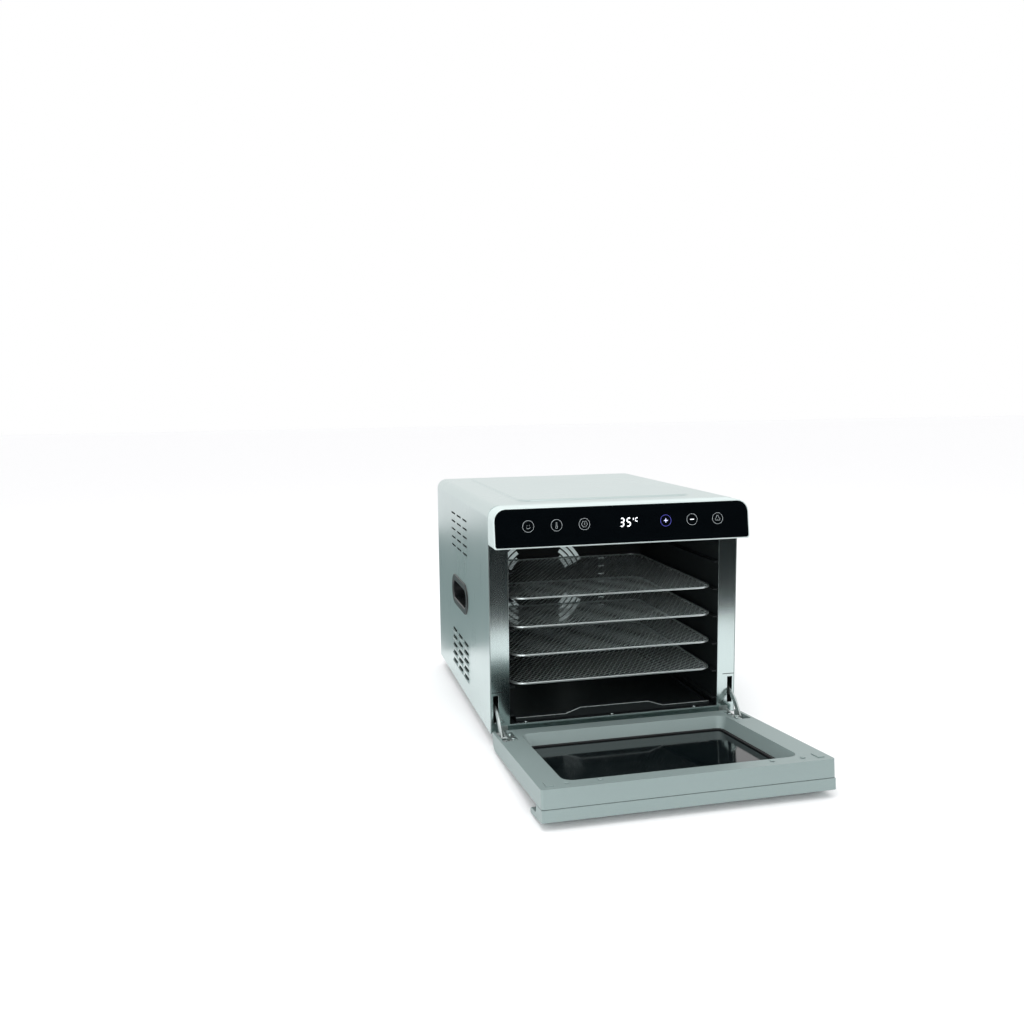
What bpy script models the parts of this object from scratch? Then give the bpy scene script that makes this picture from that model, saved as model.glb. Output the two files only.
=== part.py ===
"""Cabinet food dehydrator with a drop-down glass door, sliding wire trays and a rear fan.

Units are metres, +Z is up and -Y is the front, where the door is. Heights start at the surface that
the feet stand on. The object rests with its door open and its trays pushed in. Depths are counted
from the front plane of the door jambs; the root empty moves that plane so that the origin lies under
the middle of the whole object.
"""

import bpy
import bmesh
from math import acos, cos, hypot, pi, radians, sin
from mathutils import Matrix, Vector

# ---------------------------------------------------------------- driving dimensions
WIDTH = 0.345                 # over the stainless shell
SHELL_DEPTH = 0.405           # jamb plane to the rear edge of the shell
FOOT_HEIGHT = 0.017
SHELL_HEIGHT = 0.300
GAP = 0.0003                  # between pieces that touch
SHEET = 0.0008                # sheet steel
SHELL_RADIUS = 0.015          # bend between the top and the sides

HOUSING_HEIGHT = 0.051        # control head above the door
HOUSING_TOP_REACH = 0.030     # how far its slanted front stands out, top and bottom
HOUSING_FOOT_REACH = 0.0375

OPENING_HALF = 0.1465         # half the width between the jambs
OPENING_FLOOR = 0.028
OPENING_ROOF = 0.262

DOOR_OPEN = radians(85.0)     # the door rests open
DOOR_GAP = 0.002              # closed door to the jamb plane
DOOR_THICK = 0.0214
AXIS_DEPTH = -0.007           # hinge axis
AXIS_HEIGHT = FOOT_HEIGHT + 0.0012

CHAMBER_DEPTH = 0.296         # jamb plane to the rear baffle
CHAMBER_HALF = 0.147          # half the width between the chamber walls
LEVELS = 6
LEVEL_PITCH = 0.038
FIRST_LEVEL = 0.0415          # height of a tray's wire on the lowest ledges
TRAY_LEVELS = (4, 3, 2, 1)    # the ledges that trays 1 to 4 lie on

FAN_X = -0.028
FAN_Z = 0.1555

# ---------------------------------------------------------------- worked out from them
HALF = WIDTH / 2
SHELL_BOTTOM = FOOT_HEIGHT
TOP = FOOT_HEIGHT + SHELL_HEIGHT
HOUSING_BOTTOM = TOP - HOUSING_HEIGHT
INSIDE = HALF - SHEET
DOOR_BOTTOM = SHELL_BOTTOM + 0.0025
DOOR_TOP = HOUSING_BOTTOM - 0.0012
DOOR_BACK = -DOOR_GAP                      # inner face of the closed door
DOOR_FRONT = -DOOR_GAP - DOOR_THICK        # outer face of the closed door
HANDLE_BACK = DOOR_FRONT - 0.0006          # a shadow gap parts the handle from the door
HANDLE_TOP_REACH = -0.0379                 # outer face of the handle at its top
HANDLE_TIP_REACH = -0.0419                 # and at its lower tip
HANDLE_EASE = 0.0008                       # chamfer along its top outer edge
INLET_BACK = SHELL_DEPTH + 0.0018
SIDES = ((-1, "left"), (1, "right"))


def opened(depth, height):
    """Where a point of the closed door, given as depth and height, lies when the door is open."""
    y = depth - AXIS_DEPTH
    z = height - AXIS_HEIGHT
    return (AXIS_DEPTH + y * cos(DOOR_OPEN) - z * sin(DOOR_OPEN),
            AXIS_HEIGHT + y * sin(DOOR_OPEN) + z * cos(DOOR_OPEN))


# The open handle's top outer edge is the foremost point of the object, the inlet the rearmost.
MIDDLE = (opened(HANDLE_TOP_REACH + HANDLE_EASE, DOOR_TOP)[0] + INLET_BACK) / 2

for old in list(bpy.data.objects):
    bpy.data.objects.remove(old, do_unlink=True)

# ---------------------------------------------------------------- materials


def finish(name, colour, roughness, metallic=0.0):
    """A Principled material; colour is linear RGB."""
    material = bpy.data.materials.new(name)
    material.use_nodes = True
    shader = material.node_tree.nodes["Principled BSDF"]
    shader.inputs["Base Color"].default_value = (*colour, 1.0)
    shader.inputs["Roughness"].default_value = roughness
    shader.inputs["Metallic"].default_value = metallic
    return material


STAINLESS = finish("brushed_stainless", (0.62, 0.66, 0.65), 0.32, 1.0)
CHROME = finish("bright_wire", (0.72, 0.74, 0.74), 0.18, 1.0)
GALVANISED = finish("galvanised_steel", (0.48, 0.50, 0.50), 0.45, 1.0)
DARK_STEEL = finish("dark_coated_steel", (0.020, 0.024, 0.025), 0.35, 0.6)
SILVER_PLASTIC = finish("silver_plastic", (0.56, 0.62, 0.60), 0.40)
BLACK_PLASTIC = finish("black_plastic", (0.012, 0.013, 0.014), 0.38)
BLACK_GLASS = finish("black_glass", (0.004, 0.004, 0.006), 0.06)
SMOKED_GLASS = finish("smoked_glass", (0.010, 0.016, 0.018), 0.05)
RUBBER = finish("black_rubber", (0.010, 0.010, 0.011), 0.75)
BOARD = finish("circuit_board", (0.010, 0.120, 0.045), 0.45)
COPPER_BROWN = finish("heater_sheath", (0.20, 0.16, 0.13), 0.45, 0.9)

# ---------------------------------------------------------------- placing


def empty(name, location, parent=None, turn=0.0):
    """An empty that carries pieces; turn is about the X axis."""
    holder = bpy.data.objects.new(name, None)
    holder.location = location
    holder.rotation_euler = (turn, 0.0, 0.0)
    holder.parent = parent
    bpy.context.collection.objects.link(holder)
    return holder


ROOT = empty("dehydrator", (0.0, -MIDDLE, 0.0))
DOOR = empty("door_axis", (0.0, AXIS_DEPTH, AXIS_HEIGHT), ROOT, DOOR_OPEN)
FAN = empty("fan_axis", (FAN_X, 0.0, FAN_Z), ROOT)

FLAT = Matrix.Identity(4)                                        # (x, y), thickness up
SIDEWAYS = Matrix(((0, 0, 1, 0), (1, 0, 0, 0), (0, 1, 0, 0), (0, 0, 0, 1)))    # (y, z), along +X
UPRIGHT = Matrix(((1, 0, 0, 0), (0, 0, -1, 0), (0, 1, 0, 0), (0, 0, 0, 1)))    # (x, z), along -Y


def add(name, shape, material, parent=ROOT, origin=(0.0, 0.0, 0.0), smooth=True):
    """Turn a bmesh into a named object whose own origin is the given point of its parent."""
    bmesh.ops.recalc_face_normals(shape, faces=shape.faces[:])
    shape.transform(Matrix.Translation(-Vector(origin)))
    mesh = bpy.data.meshes.new(name)
    shape.to_mesh(mesh)
    shape.free()
    mesh.materials.append(material)
    if smooth:
        mesh.shade_smooth()
        mesh.set_sharp_from_angle(angle=radians(35))
    piece = bpy.data.objects.new(name, mesh)
    piece.location = origin
    piece.parent = parent
    bpy.context.collection.objects.link(piece)
    return piece


def tool(name, shape, parent=ROOT):
    """A cutter or a shape to be joined on: not a piece of the object."""
    helper = add(name, shape, GALVANISED, parent, smooth=False)
    helper.hide_render = True
    helper.display_type = 'WIRE'
    return helper


def combine(piece, helper, operation):
    """Cut a helper out of a piece, or join it on."""
    step = piece.modifiers.new(helper.name, 'BOOLEAN')
    step.operation = operation
    step.solver = 'EXACT'
    step.object = helper


def closed_axis(pieces_shape):
    """Move a shape given in the closed door's place into the door empty's own space."""
    pieces_shape.transform(Matrix.Translation((0.0, -AXIS_DEPTH, -AXIS_HEIGHT)))
    return pieces_shape


# ---------------------------------------------------------------- shapes


def rounded(x0, x1, y0, y1, radii, steps=4):
    """Points of a rectangle, anticlockwise from its lower left corner; radii for its four corners."""
    if isinstance(radii, (int, float)):
        radii = (radii,) * 4
    corners = ((x0, y0, 1, 1, pi), (x1, y0, -1, 1, 1.5 * pi), (x1, y1, -1, -1, 0.0),
               (x0, y1, 1, -1, 0.5 * pi))
    points = []
    for (x, y, sx, sy, start), radius in zip(corners, radii):
        if radius == 0:
            points.append((x, y))
            continue
        for i in range(steps + 1):
            a = start + 0.5 * pi * i / steps
            points.append((x + sx * radius + radius * cos(a), y + sy * radius + radius * sin(a)))
    return points


def circle(x, y, radius, sides=16):
    return [(x + radius * cos(2 * pi * i / sides), y + radius * sin(2 * pi * i / sides))
            for i in range(sides)]


def loft(rings, ring_closed=False):
    """Skin between rings with as many points each; the ends are capped, or joined in a loop."""
    shape = bmesh.new()
    rows = [[shape.verts.new(p) for p in ring] for ring in rings]
    pairs = list(zip(rows, rows[1:]))
    if ring_closed:
        pairs.append((rows[-1], rows[0]))
    else:
        shape.faces.new(rows[0])
        shape.faces.new(rows[-1])
    count = len(rows[0])
    for low, high in pairs:
        for i in range(count):
            j = (i + 1) % count
            shape.faces.new((low[i], low[j], high[j], high[i]))
    return shape


def slab(outline, start, end, view=FLAT, holes=()):
    """A plate between two offsets along the view's direction, with holes through it."""
    shape = bmesh.new()
    edges = []
    for ring in (outline, *holes):
        verts = [shape.verts.new((u, v, start)) for u, v in ring]
        edges += [shape.edges.new((verts[i - 1], verts[i])) for i in range(len(verts))]
    if holes:
        bmesh.ops.triangle_fill(shape, use_beauty=True, use_dissolve=False, edges=edges)
    else:
        shape.faces.new(shape.verts[:])
    made = bmesh.ops.extrude_face_region(shape, geom=shape.faces[:])["geom"]
    moved = [v for v in made if isinstance(v, bmesh.types.BMVert)]
    bmesh.ops.translate(shape, verts=moved, vec=(0.0, 0.0, end - start))
    shape.transform(view)
    return shape


def upright(outline, front, back, holes=()):
    """A plate facing the front, drawn in (x, z), from the depth front to the depth back."""
    return slab(outline, -back, -front, UPRIGHT, holes)


def sideways(outline, x0, x1, holes=()):
    """A plate facing sideways, drawn in (depth, height)."""
    return slab(outline, x0, x1, SIDEWAYS, holes)


def box(x0, x1, y0, y1, z0, z1):
    return slab(rounded(x0, x1, y0, y1, 0), z0, z1)


def merge(shapes):
    """Put several shapes in one bmesh, still as separate bodies."""
    whole = bmesh.new()
    for part in shapes:
        mesh = bpy.data.meshes.new("scratch")
        part.to_mesh(mesh)
        part.free()
        whole.from_mesh(mesh)
        bpy.data.meshes.remove(mesh)
    return whole


def tube(path, radius, sides=8, closed=True):
    """A round wire along a level path of (x, y) points at height 0."""
    count = len(path)
    rings = []
    for i, (x, y) in enumerate(path):
        before = path[i - 1] if closed or i else path[i]
        after = path[(i + 1) % count] if closed or i < count - 1 else path[i]
        along = Vector((after[0] - before[0], after[1] - before[1])).normalized()
        across = Vector((along.y, -along.x))
        rings.append([(x + across.x * radius * cos(a), y + across.y * radius * cos(a), radius * sin(a))
                      for a in (2 * pi * k / sides for k in range(sides))])
    return loft(rings, ring_closed=closed)


def cylinder_y(x, z, radius, front, back, sides=20, bore=0.0):
    """A cylinder along Y, or a sleeve where bore is given."""
    holes = [circle(x, z, bore, 20)] if bore else ()
    return upright(circle(x, z, radius, sides), front, back, holes)


def cylinder_x(y, z, radius, x0, x1, sides=16):
    return sideways(circle(y, z, radius, sides), x0, x1)


# ---------------------------------------------------------------- cabinet: shell, pan, cover
GRIP_Y = 0.2095               # middle of each carrying grip
GRIP_Z = SHELL_BOTTOM + 0.1445
GRIP_LENGTH = 0.125
GRIP_HEIGHT = 0.046
GRIP_PROUD = 0.0012           # how far its flange stands off the shell
GRIP_DEPTH = 0.0200
FLANGE = 0.0075               # flange beyond the hole in the shell
CUP_WALL = 0.0020
MOUTH_EASE = 0.0010           # chamfers of the grip's mouth and of its flange
FLANGE_EASE = 0.0008
GRIP_CUTTER = 0.01            # how far a cutter reaches past what it cuts


def stadium(inset):
    """Outline of a grip in (depth, height), inset from its flange's edge."""
    radius = GRIP_HEIGHT / 2 - inset
    return rounded(GRIP_Y - GRIP_LENGTH / 2 + inset, GRIP_Y + GRIP_LENGTH / 2 - inset,
                   GRIP_Z - radius, GRIP_Z + radius, radius, 6)


def build_shell():
    def arch(inset):
        return rounded(-HALF + inset, HALF - inset, SHELL_BOTTOM, TOP - inset,
                       (0, 0, SHELL_RADIUS - inset, SHELL_RADIUS - inset), 6)
    outer = arch(0.0)
    inner = arch(SHEET)
    profile = outer[1:] + outer[:1] + inner[:1] + inner[1:][::-1]
    shell = add("outer_shell", upright(profile, GAP, SHELL_DEPTH), STAINLESS)
    hole = tool("grip_hole", sideways(stadium(FLANGE), -HALF - GRIP_CUTTER, HALF + GRIP_CUTTER))
    combine(shell, hole, 'DIFFERENCE')


PAN_RIM = 0.004               # height of the pan's turned-up rim
PAN_INSET = 0.0025            # its edges to the shell's front and rear edges
COVER_FOOT = SHELL_BOTTOM + 0.0016       # lower edge of the sheets that stand in the shell


def build_base_pan():
    x = INSIDE - GAP
    rings = []
    rim = SHELL_BOTTOM + PAN_RIM
    for inset, z in ((0.0, SHELL_BOTTOM), (0.0, rim), (SHEET, rim), (SHEET, SHELL_BOTTOM + SHEET)):
        outline = rounded(-x + inset, x - inset, PAN_INSET + inset, SHELL_DEPTH - PAN_INSET - inset, 0)
        rings.append([(u, v, z) for u, v in outline])
    add("base_pan", loft(rings), GALVANISED)


INLET_X = 0.118
INLET_Z = 0.052
INLET_CUTOUT = (0.0143, 0.0103)          # half width and half height of the hole in the cover
INLET_FLANGE = (0.0165, 0.0125)
INLET_BODY = (0.0139, 0.0099)
INLET_SOCKET = (0.0118, 0.0080)          # the hollow that the plug goes into
SOCKET_DEPTH = 0.016
INLET_DEPTH = 0.022
COVER_BACK = SHELL_DEPTH - GAP
COVER_CORNER = SHELL_RADIUS - 0.0015
VENT_ROWS = 7                 # exhaust slots behind the fan motor
VENT_PITCH = 0.012
VENT_HALF_WIDTH = 0.045
VENT_HALF_HEIGHT = 0.002


def centred(x, z, half_width, half_height, radius=0.0, steps=2):
    """Outline of a rectangle given by its middle."""
    return rounded(x - half_width, x + half_width, z - half_height, z + half_height, radius, steps)


def build_rear_cover():
    x = INSIDE - GAP
    outline = rounded(-x, x, COVER_FOOT, TOP - SHEET - GAP, (0, 0, COVER_CORNER, COVER_CORNER))
    holes = [centred(INLET_X, INLET_Z, *INLET_CUTOUT)]
    for row in range(VENT_ROWS):
        z = FAN_Z + VENT_PITCH * (row - (VENT_ROWS - 1) / 2)
        holes.append(centred(FAN_X, z, VENT_HALF_WIDTH, VENT_HALF_HEIGHT, VENT_HALF_HEIGHT - 0.0001))
    add("rear_cover", upright(outline, COVER_BACK - SHEET, COVER_BACK, holes), GALVANISED)


def build_power_inlet():
    def ring(halves, y):
        return [(u, y, v) for u, v in centred(INLET_X, INLET_Z, *halves, radius=0.002)]
    flange = COVER_BACK + GAP
    add("power_inlet", loft([
        ring(INLET_SOCKET, INLET_BACK - SOCKET_DEPTH), ring(INLET_SOCKET, INLET_BACK),
        ring(INLET_FLANGE, INLET_BACK), ring(INLET_FLANGE, flange),
        ring(INLET_BODY, flange), ring(INLET_BODY, INLET_BACK - INLET_DEPTH)]), BLACK_PLASTIC)


def build_grip(side, name):
    """A cup with a flange: the flange lies on the shell, the cup goes through the hole in it."""
    def ring(inset, reach):
        return [(side * reach, y, z) for y, z in stadium(inset)]
    face = HALF + GRIP_PROUD + GAP
    floor = HALF - GRIP_DEPTH
    neck = FLANGE + GAP
    mouth = neck + CUP_WALL
    add(name, loft([
        ring(mouth, floor + CUP_WALL), ring(mouth, face - MOUTH_EASE), ring(mouth - MOUTH_EASE, face),
        ring(FLANGE_EASE, face), ring(0.0, face - FLANGE_EASE), ring(0.0, HALF + GAP),
        ring(neck, HALF + GAP), ring(neck, floor)]), BLACK_PLASTIC)


FOOT_PLACES = ((0.032, "front"), (SHELL_DEPTH - 0.033, "rear"))
FOOT_INSET = 0.028            # middle of a foot to the side of the shell
FOOT_PROFILE = ((0.0082, 0.0), (0.0090, 0.0008), (0.0098, 0.0125), (0.0098, FOOT_HEIGHT - GAP))


def build_feet():
    """Four turned feet; the profile holds radius and height."""
    for side, across in SIDES:
        for y, along in FOOT_PLACES:
            x = side * (HALF - FOOT_INSET)
            rings = [[(u, v, z) for u, v in circle(x, y, radius, 20)] for radius, z in FOOT_PROFILE]
            add(f"foot_{along}_{across}", loft(rings), RUBBER)


# ---------------------------------------------------------------- cabinet: front frame and chamber
SLOT_X = 0.1652               # middle of each stay slot and of the lever in it
SLOT_HALF = 0.0035
SLOT_BOTTOM = SHELL_BOTTOM + 0.0146
SLOT_TOP = SHELL_BOTTOM + 0.0508
FRAME_FRONT = GAP
FRAME_BACK = GAP + 0.0012
FRAME_TOP = TOP - 0.0160


def build_front_frame():
    x = INSIDE - GAP
    holes = [rounded(-OPENING_HALF, OPENING_HALF, OPENING_FLOOR, OPENING_ROOF, 0)]
    for side, name in SIDES:
        x0 = side * SLOT_X - SLOT_HALF
        holes.append(rounded(x0, x0 + 2 * SLOT_HALF, SLOT_BOTTOM, SLOT_TOP, 0))
    outline = rounded(-x, x, COVER_FOOT, FRAME_TOP, 0)
    add("front_frame", upright(outline, FRAME_FRONT, FRAME_BACK, holes), STAINLESS)


CHAMBER_FRONT = FRAME_BACK + GAP
CHAMBER_BACK = CHAMBER_DEPTH - GAP
CHAMBER_FLOOR = OPENING_FLOOR - SHEET    # underside of the floor sheet
CHAMBER_ROOF = 0.2630
LEDGE_REACH = 0.0078          # ledge width
LEDGE_THICK = 0.0014
WIRE = 0.0016                 # radius of a tray's rim wire


def level_height(level):
    """Height of the rim wire's middle on a ledge level, 0 being the lowest."""
    return FIRST_LEVEL + LEVEL_PITCH * level


def build_chamber():
    low = CHAMBER_FLOOR + SHEET + GAP
    high = CHAMBER_ROOF - GAP
    for side, name in SIDES:
        # The wall's section, in (x, z): a sheet with a ledge bent out of it at each level.
        x_out = side * (CHAMBER_HALF + SHEET)
        x_in = side * CHAMBER_HALF
        x_edge = side * (CHAMBER_HALF - LEDGE_REACH)
        section = [(x_out, low), (x_in, low)]
        for level in range(LEVELS):
            top = level_height(level) - WIRE - GAP
            section += [(x_in, top - LEDGE_THICK), (x_edge, top - LEDGE_THICK), (x_edge, top),
                        (x_in, top)]
        section += [(x_in, high), (x_out, high)]
        add(f"chamber_wall_{name}", upright(section, CHAMBER_FRONT, CHAMBER_BACK), DARK_STEEL)
    x = CHAMBER_HALF + SHEET
    add("chamber_roof", box(-x, x, CHAMBER_FRONT, CHAMBER_BACK, CHAMBER_ROOF, CHAMBER_ROOF + SHEET),
        DARK_STEEL)
    add("chamber_floor", box(-x, x, CHAMBER_FRONT, CHAMBER_BACK, CHAMBER_FLOOR, CHAMBER_FLOOR + SHEET),
        DARK_STEEL)


GUARD_FIRST = 0.052           # radius of the innermost row of guard slots
GUARD_PITCH = 0.008
GUARD_ROWS = 4
GUARD_SLOT = 0.005            # width of a guard slot
GUARD_REACH = 0.0345          # the slots stop this far left and right of the fan's axis
GUARD_FOOT = radians(25)      # and this far above and below the level through it
SIDE_SLOT = (0.0735, 0.0835)  # a column of small air slots beside the guard, from x to x
SIDE_SLOT_TOP = 0.1905
SIDE_SLOT_HEIGHT = 0.003
SIDE_SLOT_PITCH = 0.013
SIDE_SLOTS = 7
BAFFLE_BACK = CHAMBER_DEPTH + 0.0012


def arc_slot(radius, across, up):
    """Outline of a curved slot about the fan's axis, in the quarter given by two signs."""
    steps = 6
    end = acos(GUARD_REACH / radius)
    angles = [GUARD_FOOT + (end - GUARD_FOOT) * i / steps for i in range(steps + 1)]
    outer = [(radius + GUARD_SLOT / 2, a) for a in angles]
    inner = [(radius - GUARD_SLOT / 2, a) for a in reversed(angles)]
    return [(FAN_X + across * r * cos(a), FAN_Z + up * r * sin(a)) for r, a in outer + inner]


def build_baffle():
    holes = []
    for row in range(GUARD_ROWS):
        for across in (-1, 1):
            for up in (-1, 1):
                holes.append(arc_slot(GUARD_FIRST + GUARD_PITCH * row, across, up))
    for row in range(SIDE_SLOTS):
        top = SIDE_SLOT_TOP - SIDE_SLOT_PITCH * row
        holes.append(rounded(*SIDE_SLOT, top - SIDE_SLOT_HEIGHT, top, 0))
    x = CHAMBER_HALF + SHEET
    outline = rounded(-x, x, CHAMBER_FLOOR, CHAMBER_ROOF + SHEET, 0)
    add("air_baffle", upright(outline, CHAMBER_DEPTH, BAFFLE_BACK, holes), DARK_STEEL)


# ---------------------------------------------------------------- cabinet: control head


def housing_front(z):
    """Depth of the control head's slanted front at a height."""
    share = (z - HOUSING_BOTTOM) / HOUSING_HEIGHT
    return -HOUSING_FOOT_REACH + share * (HOUSING_FOOT_REACH - HOUSING_TOP_REACH)


RIM = 0.0016                  # silver rim around the glass
GLASS_THICK = 0.0020
GLASS_POCKET = GLASS_THICK + GAP
HOUSING_WALL = 0.0025
FACE_STEPS = 5
HEAD_PARTS = (                # boards and display behind the glass, as boxes
    ("control_board", BOARD, -0.140, 0.140, -0.0215, -0.0199, 0.276, 0.308),
    ("display_module", BLACK_PLASTIC, -0.020, 0.030, -0.0275, -0.0218, 0.284, 0.300),
    ("power_board", BOARD, 0.020, 0.140, 0.030, 0.120, 0.270, 0.2716))


def head_ring(inset, offset=None, depth=None):
    """Outline of the control head, on its slanted front moved back by offset, or at one depth."""
    radius = max(SHELL_RADIUS + 0.001 - inset, 0.004)
    outline = rounded(-HALF + inset, HALF - inset, HOUSING_BOTTOM + inset, TOP - inset,
                      (0.003, 0.003, radius, radius), FACE_STEPS)
    return [(x, depth if offset is None else housing_front(z) + offset, z) for x, z in outline]


def build_control_head():
    add("control_housing", loft([
        head_ring(HOUSING_WALL, offset=GLASS_POCKET + HOUSING_WALL), head_ring(HOUSING_WALL, depth=0.0),
        head_ring(0.0, depth=0.0), head_ring(0.0, offset=0.0012), head_ring(0.0010, offset=0.0),
        head_ring(RIM, offset=0.0), head_ring(RIM, offset=GLASS_POCKET)]), SILVER_PLASTIC)
    add("control_glass", loft([head_ring(RIM + GAP, offset=0.0), head_ring(RIM + GAP, offset=GLASS_THICK)]),
        BLACK_GLASS)
    for name, material, x0, x1, y0, y1, z0, z1 in HEAD_PARTS:
        add(name, box(x0, x1, y0, y1, z0, z1), material)


# ---------------------------------------------------------------- cabinet: fan, heater, sensors
FAN_PLATE = 0.352             # depth of the plate that carries the motor
PLATE_THICK = 0.0012
MOTOR_RADIUS = 0.030
MOTOR_LENGTH = 0.032
SHAFT = 0.004
SHAFT_HOLE = 0.008
DISC_FRONT = 0.320
DISC_RADIUS = 0.032
DISC_THICK = 0.0012
PADDLES = 8
PADDLE_ROOT = 0.022
PADDLE_TIP = 0.078
PADDLE_DEPTH = 0.022
NUT_RADIUS = 0.0070
NUT_DEPTH = 0.0055
HEATER_RING = 0.100           # radius of the heater's ring and of its tube
HEATER_TUBE = 0.0036
HEATER_DEPTH = 0.326
HEATER_GAP = radians(9)       # half the angle of the gap in the ring
CUTOUT = (0.110, 0.225, 0.009)           # x, z and radius of the thermal cutout and the sensor
SENSOR = (0.118, 0.246, 0.0028)


def build_air_system():
    x = CHAMBER_HALF + SHEET
    outline = rounded(-x, x, CHAMBER_FLOOR, CHAMBER_ROOF + SHEET, 0)
    back = FAN_PLATE + PLATE_THICK
    add("fan_plate", upright(outline, FAN_PLATE, back, [circle(FAN_X, FAN_Z, SHAFT_HOLE)]), GALVANISED)
    add("fan_motor", cylinder_y(FAN_X, FAN_Z, MOTOR_RADIUS, back + GAP, back + MOTOR_LENGTH, 28), GALVANISED)
    # The heater is a tube bent into an open ring round the impeller.
    steps = 36
    turn = 2 * (pi - HEATER_GAP)
    angles = [HEATER_GAP + turn * i / steps for i in range(steps + 1)]
    ring = tube([(HEATER_RING * sin(a), HEATER_RING * cos(a)) for a in angles], HEATER_TUBE, closed=False)
    ring.transform(Matrix.Translation((FAN_X, HEATER_DEPTH, FAN_Z)) @ UPRIGHT)
    add("heater_element", ring, COPPER_BROWN)
    add("thermal_cutout", cylinder_y(*CUTOUT, BAFFLE_BACK + GAP, BAFFLE_BACK + 0.010), BLACK_PLASTIC)
    add("air_sensor", cylinder_y(*SENSOR, CHAMBER_DEPTH - 0.020, CHAMBER_DEPTH - GAP, 12), CHROME)


def build_fan():
    """A paddle wheel on the motor's shaft, drawn in place and then moved to the fan's own axis."""
    local = Matrix.Translation((-FAN_X, 0.0, -FAN_Z))
    disc = cylinder_y(FAN_X, FAN_Z, DISC_RADIUS, DISC_FRONT, DISC_FRONT + DISC_THICK, 24, SHAFT + GAP)
    disc.transform(local)
    impeller = add("fan_impeller", disc, GALVANISED, FAN)
    paddles = []
    half = DISC_THICK / 2
    for i in range(PADDLES):
        paddle = box(PADDLE_ROOT, PADDLE_TIP, DISC_FRONT + half, DISC_FRONT + PADDLE_DEPTH, -half, half)
        paddle.transform(Matrix.Rotation(2 * pi * i / PADDLES, 4, 'Y'))
        paddles.append(paddle)
    blades = tool("impeller_paddles", merge(paddles), FAN)
    combine(impeller, blades, 'UNION')
    shaft = cylinder_y(FAN_X, FAN_Z, SHAFT, DISC_FRONT - 0.007, FAN_PLATE + PLATE_THICK, 16)
    shaft.transform(local)
    add("fan_shaft", shaft, CHROME, FAN)
    nut = cylinder_y(FAN_X, FAN_Z, NUT_RADIUS, DISC_FRONT - NUT_DEPTH, DISC_FRONT - GAP, 6, SHAFT + GAP)
    nut.transform(local)
    add("fan_nut", nut, CHROME, FAN)


# ---------------------------------------------------------------- door
RECESS = (0.141, 0.044, 0.2425, 0.014)        # half width, foot, head and corner radius of its rim
RECESS_FLOOR = (0.134, 0.051, 0.2360, 0.010)
WINDOW = (0.127, 0.058, 0.2290, 0.008)
RECESS_DEPTH = 0.0160
LIP = 0.0017                                   # outer lip that holds the glass
BULLNOSE = 0.012                               # rounding of the door's lower outer edge
EDGE = 0.0030                                  # its other corners, seen from the front


def door_ring(x, z0, z1, radius, y):
    return [(u, y, v) for u, v in rounded(-x, x, z0, z1, radius)]


def build_door_frame():
    rings = [door_ring(HALF, DOOR_BOTTOM, DOOR_TOP, EDGE, DOOR_BACK)]
    for i in range(6):
        a = pi / 2 * i / 5
        rings.append(door_ring(HALF, DOOR_BOTTOM + BULLNOSE * (1 - cos(a)), DOOR_TOP, EDGE,
                               DOOR_FRONT + BULLNOSE * (1 - sin(a))))
    rings += [door_ring(*WINDOW, DOOR_FRONT), door_ring(*WINDOW, DOOR_FRONT + LIP),
              door_ring(*RECESS_FLOOR, DOOR_FRONT + LIP),
              door_ring(*RECESS_FLOOR, DOOR_BACK - RECESS_DEPTH), door_ring(*RECESS, DOOR_BACK)]
    return add("door_frame", closed_axis(loft(rings, ring_closed=True)), SILVER_PLASTIC, DOOR)


SEAL_WIDTH = 0.004
SEAL_THICK = 0.0014
GLASS_BACK = DOOR_BACK - RECESS_DEPTH - 0.0002           # face of the pane towards the chamber


def build_door_glass():
    x, z0, z1, radius = RECESS_FLOOR
    pane = rounded(-x + GAP, x - GAP, z0 + GAP, z1 - GAP, radius - GAP)
    front = DOOR_FRONT + LIP + GAP
    add("door_glass", closed_axis(upright(pane, front, GLASS_BACK)), SMOKED_GLASS, DOOR)
    inner = rounded(-x + SEAL_WIDTH, x - SEAL_WIDTH, z0 + SEAL_WIDTH, z1 - SEAL_WIDTH, radius - SEAL_WIDTH)
    seal = upright(pane, GLASS_BACK + GAP, GLASS_BACK + GAP + SEAL_THICK, [inner])
    add("window_seal", closed_axis(seal), RUBBER, DOOR)


TIP_RADIUS = 0.0034           # rounded lower tip of the handle strip
TIP_DROP = 0.0462             # its middle below the door's top
GROOVE = (-0.0290, 0.0290)    # middle of the finger groove's arc: depth, and drop below the door's top
GROOVE_RADIUS = 0.0050


def arc(y, z, radius, start, end, steps):
    """Points round a middle point; the angles are in degrees."""
    angles = [radians(start + (end - start) * i / steps) for i in range(steps + 1)]
    return [(y + radius * cos(a), z + radius * sin(a)) for a in angles]


def handle_profile():
    """Section of the handle strip in (depth, height): a slanted face ending in a hooked lip."""
    groove_z = DOOR_TOP - GROOVE[1]
    face = [(HANDLE_BACK, DOOR_TOP), (HANDLE_TOP_REACH + HANDLE_EASE, DOOR_TOP),
            (HANDLE_TOP_REACH, DOOR_TOP - HANDLE_EASE)]
    tip = arc(HANDLE_TIP_REACH + TIP_RADIUS, DOOR_TOP - TIP_DROP, TIP_RADIUS, 185, 355, 6)
    groove = arc(GROOVE[0], groove_z, GROOVE_RADIUS, 180, 90, 5)
    return face + tip + groove + [(HANDLE_BACK, groove_z + GROOVE_RADIUS + 0.0005)]


def build_handle():
    strip = sideways(handle_profile(), -HALF, HALF)
    add("door_handle", closed_axis(strip), SILVER_PLASTIC, DOOR)


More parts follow.
